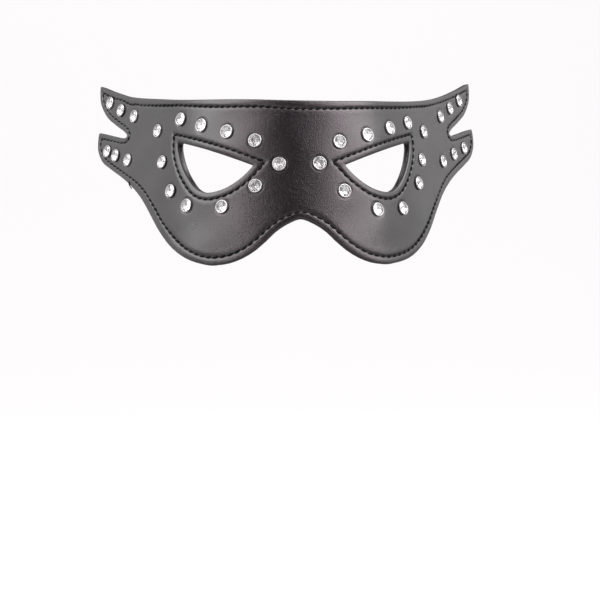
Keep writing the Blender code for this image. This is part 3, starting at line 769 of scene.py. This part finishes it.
# %% The cut stone, its radii and its heights in millimetres
TABLE, KITE, GIRDLE, PAVILION = 1.50, 2.08, 2.56, 1.20
TABLE_TOP, CROWN_BASE, GIRDLE_BASE, CULET = 1.10, 0.62, 0.56, -0.06
HALF_TURN = math.pi / 8


def ring_of(radius, z, count, shift):
    angles = np.arange(count) * 2 * math.pi / count + shift
    return [(radius * math.cos(a), radius * math.sin(a), z) for a in angles]


def stone_points():
    """Corners of the stone in millimetres, its girdle split in sixteen."""
    slope = (TABLE_TOP - CROWN_BASE) / (GIRDLE - TABLE)
    star = TABLE_TOP - (KITE * math.cos(HALF_TURN) - TABLE) * slope
    below = (GIRDLE_BASE - CULET) / GIRDLE
    points = ring_of(TABLE, TABLE_TOP, 8, HALF_TURN) + ring_of(KITE, star, 8, 0.0)
    points += ring_of(GIRDLE, CROWN_BASE, 16, 0.0) + ring_of(GIRDLE, GIRDLE_BASE, 16, 0.0)
    points += ring_of(PAVILION, CULET + PAVILION * math.cos(HALF_TURN) * below, 8, 0.0)
    return points + [(0.0, 0.0, CULET)]


def stone_mesh():
    work = bmesh.new()
    for point in stone_points():
        work.verts.new(Vector(point) * MM)
    bmesh.ops.convex_hull(work, input=work.verts)
    bmesh.ops.dissolve_limit(work, angle_limit=math.radians(1.0), verts=work.verts, edges=work.edges)
    bmesh.ops.recalc_face_normals(work, faces=work.faces)
    mesh = bpy.data.meshes.new("brilliant")
    work.to_mesh(mesh)
    work.free()
    return mesh


stone = stone_mesh()
print("facets on a stone:", len(stone.polygons))

# %% [markdown]
# The setting is a turned steel rivet. Its thin rim is rolled over the girdle to hold the
# stone, the post goes through the leather, and a domed cap closes it behind. Where the
# strap is held too, the post is longer.

# %% The turned settings
STRAP_THICKNESS = 1.5 * MM
FOIL_DROP = 0.04


def setting_mesh(name, grip):
    """A turned rivet about its own axis, with the foil cup under the stone."""
    cap = -(grip + SEAT_GAP) / MM
    profile = [
        (0.0, cap - 0.82), (0.8, cap - 0.80), (1.5, cap - 0.70), (2.1, cap - 0.48), (2.45, cap - 0.22),
        (2.58, cap), (2.56, cap + 0.14), (2.40, cap + 0.20), (0.80, cap + 0.20), (0.80, -0.13),
        (2.78, -0.13), (2.92, -0.08), (2.97, 0.02), (2.98, 0.18), (2.98, 0.40), (2.96, 0.54),
        (2.90, 0.63), (2.82, 0.68), (2.72, 0.70), (2.62, 0.68), (2.56, 0.63), (2.58, 0.56),
        (2.58, GIRDLE_BASE - FOIL_DROP),
    ]
    work = bmesh.new()
    rings = []
    for radius, z in profile:
        rings.append([work.verts.new(Vector(p) * MM) for p in ring_of(max(radius, 0.002), z, 48, 0.0)])
    for low, high in zip(rings, rings[1:]):
        for i in range(48):
            work.faces.new((low[i], high[i], high[i - 1], low[i - 1]))
    work.faces.new(rings[0])
    bmesh.ops.recalc_face_normals(work, faces=work.faces)
    for face in work.faces:
        face.smooth = True
    turned = len(work.faces)
    foil = [work.verts.new(Vector((x, y, z - FOIL_DROP)) * MM) for x, y, z in stone_points()[32:]]
    outer, mid, tip = foil[:16], foil[16:24], foil[24]
    for i in range(8):
        work.faces.new((outer[2 * i - 1], outer[2 * i], mid[i]))
        work.faces.new((outer[2 * i], outer[2 * i + 1], mid[i]))
        work.faces.new((outer[2 * i - 1], mid[i], tip, mid[i - 1]))
    work.faces.ensure_lookup_table()
    for face in work.faces[turned:]:
        face.normal_update()
        if face.normal.z < 0.0:
            face.normal_flip()
    mesh = bpy.data.meshes.new(name)
    work.to_mesh(mesh)
    work.free()
    first_foil = 48 * len(profile)
    add_values(mesh, "foil", np.arange(len(mesh.vertices)) >= first_foil)
    return mesh


plain_setting = setting_mesh("plain_setting", LEATHER_THICKNESS)
long_setting = setting_mesh("strap_setting", LEATHER_THICKNESS + SEAT_GAP + STRAP_THICKNESS)
hand = np.random.default_rng(21)
settings, stones = [], []
for word, places in RIVETS.items():
    for number, (s, z, holds_strap) in enumerate(places, 1):
        seat, out, across = bent([(s, z, 0.0), (s, z, 1.0 * MM), (s + 0.1 * MM, z, 0.0)])
        out = Vector(out - seat).normalized()
        across = Vector((0.0, 0.0, 1.0)).cross(out).normalized()
        facing = Matrix((across, out.cross(across), out)).transposed().to_4x4()
        tilt = Matrix.Rotation(math.radians(hand.normal(0.0, 1.0)), 4, "X")
        turn = Matrix.Rotation(hand.uniform(0.0, math.pi / 4), 4, "Z")
        place = Matrix.Translation(Vector(seat)) @ facing @ tilt
        setting = link(f"setting_{word}_{number:02d}", long_setting if holds_strap else plain_setting)
        crystal = link(f"crystal_{word}_{number:02d}", stone)
        setting.matrix_world = place @ turn
        crystal.matrix_world = place @ turn
        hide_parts(f"crystal_rivet_{word}_{number:02d}")
        for piece in (setting, crystal):
            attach(piece, "root")
        settings.append(setting)
        stones.append(crystal)
print("settings:", len(settings), "stones:", len(stones))

# %% [markdown]
# The strap is hidden behind the wings in the picture. A mask like this is held on by a
# plain elastic band, so that is what goes round the back: from the two rivets at each
# temple, straight back along the head, and up a little to sit above the nape.

# %% The elastic strap
STRAP_WIDTH, STRAP_TAB, STRAP_RISE = 18.0 * MM, 10.0 * MM, 31.5 * MM
STRAP_TURN_RADIUS, STRAP_REACH = 42.0 * MM, 195.0 * MM


def strap_route():
    """Half of the strap's way round the head, as rows of s, x, y and heading."""
    leave = STRAP_START[0] + STRAP_OVERLAP
    on_leather = np.linspace(STRAP_START[0] - STRAP_TAB, leave, 12)
    rows = [np.column_stack([on_leather, *plan(on_leather)])]
    _, x, y, turn = rows[0][-1]
    arc = np.linspace(0.0, math.pi / 2 - turn, 16)[1:]
    x_arc = x + STRAP_TURN_RADIUS * (np.sin(turn + arc) - math.sin(turn))
    y_arc = y + STRAP_TURN_RADIUS * (math.cos(turn) - np.cos(turn + arc))
    rows.append(np.column_stack([leave + arc * STRAP_TURN_RADIUS, x_arc, y_arc, turn + arc]))
    s, breadth, widest, _ = rows[1][-1]
    depth = STRAP_REACH - widest
    angle = np.linspace(0.0, math.pi / 2, 73)
    x_back, y_back = breadth * np.cos(angle), widest + depth * np.sin(angle)
    run = s + np.concatenate([[0.0], np.cumsum(np.hypot(np.diff(x_back), np.diff(y_back)))])
    heading = np.arctan2(depth * np.cos(angle), -breadth * np.sin(angle))
    rows.append(np.column_stack([run, x_back, y_back, heading])[1:])
    return np.vstack(rows)


ROUTE = strap_route()
STRAP_HALF = ROUTE[-1, 0]


def strap_level(along):
    """Height of the strap's middle line at a distance from the back of the head."""
    start = ROUTE[0, 0]
    share = (STRAP_HALF - np.abs(along) - start) / (STRAP_HALF - start)
    at_rivets = STRAP_TAB / (STRAP_HALF - start)
    return STRAP_START[1] - STRAP_RISE * (2 - at_rivets) * at_rivets + STRAP_RISE * (2 - share) * share


def strap_place(flat):
    """Points of the flat strap where they lie round the head."""
    along, across, d = flat.T
    s = STRAP_HALF - np.abs(along)
    x, y, turn = [np.interp(s, ROUTE[:, 0], ROUTE[:, column]) for column in (1, 2, 3)]
    return stand_up(x, y, turn, np.where(along < 0, -1.0, 1.0), across + strap_level(along), d)


strap_end, strap_edge = STRAP_HALF - ROUTE[0, 0], STRAP_WIDTH / 2
strap_outline = resampled(np.array([
    (-strap_end, -strap_edge), (strap_end, -strap_edge), (strap_end, strap_edge), (-strap_end, strap_edge),
]), 1.5 * MM)
strap_holes = []
for places in RIVETS.values():
    for s, z, holds_strap in places:
        if holds_strap:
            along = math.copysign(STRAP_HALF - abs(s), s)
            strap_holes.append(circle((along, z - strap_level(along)), HOLE_RADIUS, 16))
strap_gap = gap_to([strap_outline], 0.3 * MM)
STRAP_OUTER = -LEATHER_THICKNESS - SEAT_GAP
STRAP_SOFT = 0.55 * MM


def strap_points():
    """A woven grid with rings beside the edge and clear of the holes."""
    columns = np.arange(-strap_end + 1.2 * MM, strap_end - 1.0 * MM, 2.2 * MM)
    rows = np.linspace(-strap_edge + 1.0 * MM, strap_edge - 1.0 * MM, 17)
    grid = np.array([(a, b) for a in columns for b in rows])
    rings = [resampled(offset_loop(strap_outline, gap * MM), 1.5 * MM) for gap in (0.1, 0.25, 0.5)]
    points = uncrowded(np.vstack([grid] + rings), 0.15 * MM)
    middles = np.array([hole.mean(axis=0) for hole in strap_holes])
    far = np.linalg.norm(points[:, None, :] - middles[None, :, :], axis=2).min(axis=1)
    return points[far > HOLE_RADIUS + 0.4 * MM]


def strap_front(points):
    return STRAP_OUTER - edge_fall(strap_gap(points), STRAP_SOFT)


def strap_back(points):
    return STRAP_OUTER - STRAP_THICKNESS + edge_fall(strap_gap(points), STRAP_SOFT)


cuts, woven = [strap_outline] + strap_holes, strap_points()
strap, _ = make_sheet("elastic_strap", cuts, (woven, woven), (strap_front, strap_back), strap_place, 2)
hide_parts("head_strap")
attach(strap, "root")
print("strap:", round(2 * strap_end / MM), "mm long,", len(strap.data.polygons), "faces")

# %% [markdown]
# Finishes come next. Some effects turn up in more than one material, so each is a small
# group of nodes with named inputs: slow changes of tone, fine scuffs, the pebbles of a
# grained hide and the twist of a yarn. They read the flat pattern's own coordinates, in
# units of 100 mm, so the grain bends with the leather.

# %% Helpers for finishes
def fill(tree, node, inputs):
    """Set a node's inputs: plain values are set, and outputs of other nodes are linked."""
    for key, value in inputs.items():
        if isinstance(value, bpy.types.NodeSocket):
            tree.links.new(value, node.inputs[key])
        else:
            node.inputs[key].default_value = value


def add_node(tree, kind, inputs=None, **settings):
    """Add a node of a kind with its settings and its inputs."""
    made = tree.nodes.new(kind)
    for key, value in settings.items():
        setattr(made, key, value)
    fill(tree, made, inputs or {})
    return made


def maths(tree, operation, *values):
    return add_node(tree, "ShaderNodeMath", dict(enumerate(values)), operation=operation).outputs[0]


def ramp(tree, value, low, high, to_low=0.0, to_high=1.0):
    """Map a value from one range to another, held at both ends."""
    inputs = {"Value": value, "From Min": low, "From Max": high, "To Min": to_low, "To Max": to_high}
    return add_node(tree, "ShaderNodeMapRange", inputs, interpolation_type="SMOOTHSTEP").outputs[0]


def blend(tree, share, *colours):
    """Mix two colours, each a plain red, green and blue or another node's output."""
    first, second = [(*c, 1.0) if isinstance(c, tuple) else c for c in colours]
    return add_node(tree, "ShaderNodeMix", {0: share, 6: first, 7: second}, data_type="RGBA").outputs[2]


def effect(name, inputs):
    """Start a group of nodes with a pattern coordinate, named numbers in and a value out."""
    tree = bpy.data.node_groups.new(name, "ShaderNodeTree")
    tree.interface.new_socket("Pattern", in_out="INPUT", socket_type="NodeSocketVector")
    for key, value in inputs.items():
        tree.interface.new_socket(key, in_out="INPUT", socket_type="NodeSocketFloat").default_value = value
    tree.interface.new_socket("Value", in_out="OUTPUT", socket_type="NodeSocketFloat")
    return tree, tree.nodes.new("NodeGroupInput").outputs


def close_effect(tree, value):
    tree.links.new(value, tree.nodes.new("NodeGroupOutput").inputs["Value"])
    return tree


def use(tree, group, pattern, **inputs):
    """Place a group in a material with its own values."""
    made = add_node(tree, "ShaderNodeGroup", node_tree=group)
    fill(tree, made, {"Pattern": pattern, **inputs})
    return made.outputs["Value"]


def new_finish(name):
    """A material with its shader, its tree and its pattern coordinate."""
    finish = bpy.data.materials.new(name)
    finish.use_nodes = True
    tree = finish.node_tree
    pattern = add_node(tree, "ShaderNodeUVMap", uv_map="pattern").outputs[0]
    return finish, tree, tree.nodes["Principled BSDF"], pattern


def attribute(tree, name):
    return add_node(tree, "ShaderNodeAttribute", attribute_name=name).outputs["Fac"]


def bump(tree, height, distance, under=None):
    """Relief of a given depth, laid over another relief if there is one under it."""
    inputs = {"Height": height, "Distance": distance, "Strength": 1.0}
    return add_node(tree, "ShaderNodeBump", {**inputs, "Normal": under} if under else inputs).outputs[0]


def vector(tree, operation, inputs):
    return add_node(tree, "ShaderNodeVectorMath", inputs, operation=operation).outputs[0]


def noise_of(tree, place, scale, detail):
    return add_node(tree, "ShaderNodeTexNoise", {"Vector": place, "Scale": scale, "Detail": detail})


# %% The shared effects
tree, given = effect("slow_tone", {"Scale": 6.0, "Contrast": 1.0})
noise = noise_of(tree, given["Pattern"], given["Scale"], 5.0)
centred = maths(tree, "SUBTRACT", noise.outputs[0], 0.5)
slow_tone = close_effect(tree, maths(tree, "MULTIPLY_ADD", centred, given["Contrast"], 0.5))

tree, given = effect("scuffs", {"Scale": 40.0, "Stretch": 6.0, "Amount": 0.5})
stretched = add_node(tree, "ShaderNodeCombineXYZ", {"X": given["Stretch"], "Y": 1.0, "Z": 1.0})
turned = add_node(tree, "ShaderNodeVectorRotate", {"Vector": given["Pattern"], "Angle": 0.6})
drawn = vector(tree, "MULTIPLY", {0: turned.outputs[0], 1: stretched.outputs[0]})
noise = noise_of(tree, drawn, given["Scale"], 6.0)
sharp = ramp(tree, noise.outputs[0], 0.56, 0.72)
scuffs = close_effect(tree, maths(tree, "MULTIPLY", sharp, given["Amount"]))

tree, given = effect("pebbles", {"Scale": 110.0, "Crease": 0.10})
warp = noise_of(tree, given["Pattern"], 60.0, 2.0)
shift = vector(tree, "SCALE", {0: warp.outputs["Color"], "Scale": 0.012})
moved = vector(tree, "ADD", {0: given["Pattern"], 1: shift})
cells = add_node(
    tree, "ShaderNodeTexVoronoi", {"Vector": moved, "Scale": given["Scale"]},
    feature="DISTANCE_TO_EDGE", voronoi_dimensions="2D",
)
pebbles = close_effect(tree, ramp(tree, cells.outputs["Distance"], given["Crease"], 0.32))

tree, given = effect("yarn_twist", {"Across": 3.0, "Along": 4.0})
parts = add_node(tree, "ShaderNodeSeparateXYZ", {"Vector": given["Pattern"]}).outputs
run = maths(tree, "MULTIPLY", parts[0], given["Along"])
phase = maths(tree, "MULTIPLY_ADD", parts[1], given["Across"], run)
wave = maths(tree, "SINE", maths(tree, "MULTIPLY", phase, 2 * math.pi))
yarn_twist = close_effect(tree, maths(tree, "MULTIPLY_ADD", wave, 0.5, 0.5))
print("effects:", [group.name for group in bpy.data.node_groups])

# %% [markdown]
# The leather is black calf with a faint warm cast, glazed on the grain side and left rough
# on the flesh side and on the cut sides. Its colour is painted darker down in the seam and round
# the rivets, as painted shade for the shadow in the groove and in the dimples, and it is rougher
# in the seam. It is a little lighter and smoother on the worn edge. Over the nose, where it bends
# most, its grain stands out and its shine is warmer.

# %% Black leather
finish, tree, shader, pattern = new_finish("black_glazed_leather")
edge, seam, rivet, behind = [attribute(tree, key) for key in ("edge_mm", "seam_mm", "rivet_mm", "back_side")]
tone = use(tree, slow_tone, pattern, Scale=5.0, Contrast=1.6)
fine_tone = use(tree, slow_tone, pattern, Scale=70.0, Contrast=1.4)
grain = use(tree, pebbles, pattern, Scale=145.0, Crease=0.0)
pores = use(tree, pebbles, pattern, Scale=330.0, Crease=0.0)
scratch = use(tree, scuffs, pattern, Scale=22.0, Stretch=5.0, Amount=1.0)
across = add_node(tree, "ShaderNodeSeparateXYZ", {"Vector": pattern}).outputs[0]
out = maths(tree, "ABSOLUTE", across)
middle = ramp(tree, out, 0.16, 0.52, 1.0, 0.0)
colour = blend(tree, tone, (0.0038, 0.0024, 0.0030), (0.0056, 0.0038, 0.0046))
colour = blend(tree, maths(tree, "MULTIPLY", fine_tone, 0.4), colour, (0.0036, 0.0026, 0.0031))
worn = maths(tree, "MULTIPLY", ramp(tree, edge, 0.0, 1.1, 1.0, 0.0), ramp(tree, scratch, 0.0, 1.0, 0.25, 0.9))
colour = blend(tree, worn, colour, (0.010, 0.008, 0.008))
# Painted shade in the seam groove: the colour darkens there, and less so out on the wings.
fainter = ramp(tree, out, 0.70, 0.98, 1.0, 0.75)
groove = maths(tree, "MULTIPLY", ramp(tree, seam, 0.20, 0.55, 0.7, 0.0), fainter)
# Painted shade round the rivets, over the dimple that each one sits in.
rivet_shade = ramp(tree, rivet, 2.9, 4.4, 0.5, 0.0)
# The seam shade and the rivet shade are painted into the colour here as a darker tone.
colour = blend(tree, maths(tree, "MAXIMUM", groove, rivet_shade), colour, (0.0020, 0.0016, 0.0018))
cut_side = ramp(tree, edge, 0.05, 0.22, 1.0, 0.0)
colour = blend(tree, cut_side, colour, (0.0012, 0.0009, 0.0008))
flesh = use(tree, slow_tone, pattern, Scale=160.0, Contrast=2.0)
rough_side = blend(tree, flesh, (0.050, 0.043, 0.040), (0.085, 0.074, 0.068))

gloss = maths(tree, "MULTIPLY_ADD", tone, 0.08, 0.25)
for mask, share in ((scratch, 0.03), (worn, -0.05), (groove, 0.45)):
    gloss = maths(tree, "MULTIPLY_ADD", mask, share, gloss)
dull = maths(tree, "MULTIPLY", maths(tree, "MAXIMUM", behind, cut_side), 0.95)
relief = maths(tree, "MULTIPLY_ADD", fine_tone, 0.8, maths(tree, "MULTIPLY_ADD", pores, 0.07, grain))
relief = maths(tree, "MULTIPLY", relief, maths(tree, "MULTIPLY_ADD", middle, 0.65, 0.45))
normal = bump(tree, scratch, -0.002 * MM, bump(tree, relief, 0.026 * MM))
fill(tree, shader, {
    "Base Color": blend(tree, behind, colour, rough_side),
    "Roughness": maths(tree, "MAXIMUM", gloss, dull),
    "IOR": 1.55,
    "Specular Tint": blend(tree, middle, (1.0, 0.985, 0.985), (1.0, 0.88, 0.935)),
    "Normal": bump(tree, maths(tree, "MULTIPLY", flesh, behind), 0.15 * MM, normal),
})
leather.data.materials.append(finish)
print(finish.name, "uses", len(tree.nodes), "nodes")

# %% [markdown]
# The thread is waxed polyester in three plies, black and nearly dull. The elastic is a
# woven band: fine ribs run along it, and a crossing yarn gives each rib small steps.

# %% Thread and elastic
finish, tree, shader, pattern = new_finish("waxed_thread")
twist = use(tree, yarn_twist, pattern, Across=1.0, Along=3.0)
tone = use(tree, slow_tone, pattern, Scale=9.0, Contrast=1.2)
fill(tree, shader, {
    "Base Color": blend(tree, tone, (0.0014, 0.0012, 0.0013), (0.0034, 0.0029, 0.0032)),
    "Roughness": maths(tree, "MULTIPLY_ADD", twist, -0.12, 0.74),
    "Specular IOR Level": 0.14,
    "Normal": bump(tree, twist, 0.05 * MM),
})
for piece in stitches:
    piece.data.materials.append(finish)
print(finish.name, "is on", len(stitches), "pieces")

finish, tree, shader, pattern = new_finish("woven_elastic")
ribs = use(tree, yarn_twist, pattern, Across=83.0, Along=0.0)
steps = use(tree, yarn_twist, pattern, Across=41.5, Along=120.0)
tone = use(tree, slow_tone, pattern, Scale=8.0, Contrast=1.5)
lint = use(tree, scuffs, pattern, Scale=90.0, Stretch=3.0, Amount=0.6)
colour = blend(tree, tone, (0.013, 0.012, 0.014), (0.026, 0.024, 0.027))
colour = blend(tree, maths(tree, "MULTIPLY", ribs, 0.5), (0.008, 0.008, 0.009), colour)
fill(tree, shader, {
    "Base Color": blend(tree, lint, colour, (0.055, 0.052, 0.055)),
    "Roughness": maths(tree, "MULTIPLY_ADD", steps, -0.10, 0.80),
    "Normal": bump(tree, maths(tree, "MULTIPLY_ADD", steps, 0.5, ribs), 0.10 * MM),
})
strap.data.materials.append(finish)
print(finish.name, "uses", len(tree.nodes), "nodes")

# %% [markdown]
# The settings are nickel-plated steel with faint turning marks, and the foil under each
# stone is a little greyer and duller. The stones are clear glass.

# %% Steel and crystal
finish, tree, shader, pattern = new_finish("nickel_plated_steel")
place = add_node(tree, "ShaderNodeTexCoord").outputs["Object"]
foil = attribute(tree, "foil")
tone = use(tree, slow_tone, place, Scale=900.0, Contrast=1.4)
marks = use(tree, scuffs, place, Scale=1500.0, Stretch=5.0, Amount=1.0)
colour = blend(tree, tone, (0.42, 0.405, 0.41), (0.52, 0.50, 0.51))
brushed = maths(tree, "MULTIPLY_ADD", marks, 0.12, 0.36)
fill(tree, shader, {
    "Base Color": blend(tree, foil, colour, (0.38, 0.365, 0.37)),
    "Roughness": maths(tree, "MULTIPLY_ADD", foil, 0.14, brushed),
    "Metallic": 1.0,
})
for mesh in (plain_setting, long_setting):
    mesh.materials.append(finish)
print(finish.name, "is on", len(settings), "settings")

finish, tree, shader, pattern = new_finish("clear_crystal")
clear = {"Base Color": (1.0, 1.0, 1.0, 1.0), "Roughness": 0.07, "IOR": 1.50, "Transmission Weight": 1.0}
fill(tree, shader, clear)
stone.materials.append(finish)
print(finish.name, "is on", len(stones), "stones")

# %% [markdown]
# The studio is a pale floor that sweeps up into a white wall. Two tall soft lights stand
# before the mask on either side and two weaker ones beside the wings, with one low on the
# left and one above, while the camera's own side is left dark. That dark strip is what the
# middle of the mask mirrors in the picture.

# %% Floor, wall and lights
FLOOR_LEVEL, WALL_PLACE, CURVE = -0.235, 2.2, 0.8
FLOOR_START, WALL_TOP, HALF_WIDTH = -2.6, 3.2, 3.2


def make_sweep():
    """One sheet: floor, curve and wall."""
    run = [(FLOOR_START, FLOOR_LEVEL)]
    for angle in np.linspace(0.0, math.pi / 2, 17):
        rise = FLOOR_LEVEL + CURVE * (1 - math.cos(angle))
        run.append((WALL_PLACE - CURVE + CURVE * math.sin(angle), rise))
    run.append((WALL_PLACE, WALL_TOP))
    verts = [(x, y, z) for y, z in run for x in (-HALF_WIDTH, HALF_WIDTH)]
    faces = [(2 * i, 2 * i + 1, 2 * i + 3, 2 * i + 2) for i in range(len(run) - 1)]
    mesh = bpy.data.meshes.new("studio_sweep")
    mesh.from_pydata(verts, [], faces)
    mesh.shade_smooth()
    return link("studio_sweep", mesh)


sweep = make_sweep()
finish, tree, shader, pattern = new_finish("white_paper")
fill(tree, shader, {"Base Color": (0.07, 0.07, 0.07, 1.0), "Roughness": 0.9})
fill(tree, shader, {"Emission Color": (1.0, 0.980, 0.990, 1.0), "Emission Strength": 0.885})
sweep.data.materials.append(finish)


def soft_light(name, azimuth, elevation, distance, size, power):
    """A square lamp aimed at the mask; azimuth 0 is the camera's side, and 90 the right."""
    lamp = bpy.data.lights.new(name, "AREA")
    lamp.shape = "RECTANGLE"
    lamp.size, lamp.size_y = size
    lamp.energy = power
    holder = bpy.data.objects.new(name, lamp)
    bpy.context.scene.collection.objects.link(holder)
    turn, rise = math.radians(azimuth), math.radians(elevation)
    away = Vector((math.sin(turn) * math.cos(rise), -math.cos(turn) * math.cos(rise), math.sin(rise)))
    holder.location = away * distance + Vector((0.0, 0.03, 0.0))
    holder.rotation_euler = away.to_track_quat("Z", "Y").to_euler()
    print(name, "gives", power, "W from", azimuth, "degrees")


soft_light("soft_light_left", -67.0, 42.0, 1.5, (1.35, 1.7), 38.5)
soft_light("soft_light_left_low", -38.0, 0.0, 1.5, (0.5, 0.6), 3.4)
soft_light("soft_light_right", 55.0, 41.0, 1.5, (1.3, 1.7), 45.0)
soft_light("soft_light_side_left", -104.0, 22.0, 1.6, (1.2, 1.4), 8.2)
soft_light("soft_light_side_right", 93.0, 27.0, 1.6, (1.8, 1.4), 14.2)
soft_light("soft_light_above", 0.0, 80.0, 1.5, (1.2, 0.8), 1.5)

world = bpy.data.worlds.new("studio_air")
bpy.context.scene.world = world
world.use_nodes = True
air = world.node_tree
white = air.nodes["Background"]
fill(air, white, {"Color": (0.985, 0.975, 0.980, 1.0)})
dim = add_node(air, "ShaderNodeBackground", {"Color": (0.045, 0.040, 0.043, 1.0)})
seen = add_node(air, "ShaderNodeLightPath").outputs["Is Camera Ray"]
shown = add_node(air, "ShaderNodeMixShader", {0: seen, 1: dim.outputs[0], 2: white.outputs[0]})
air.links.new(shown.outputs[0], air.nodes["World Output"].inputs["Surface"])
bpy.context.scene.view_settings.view_transform = "Standard"
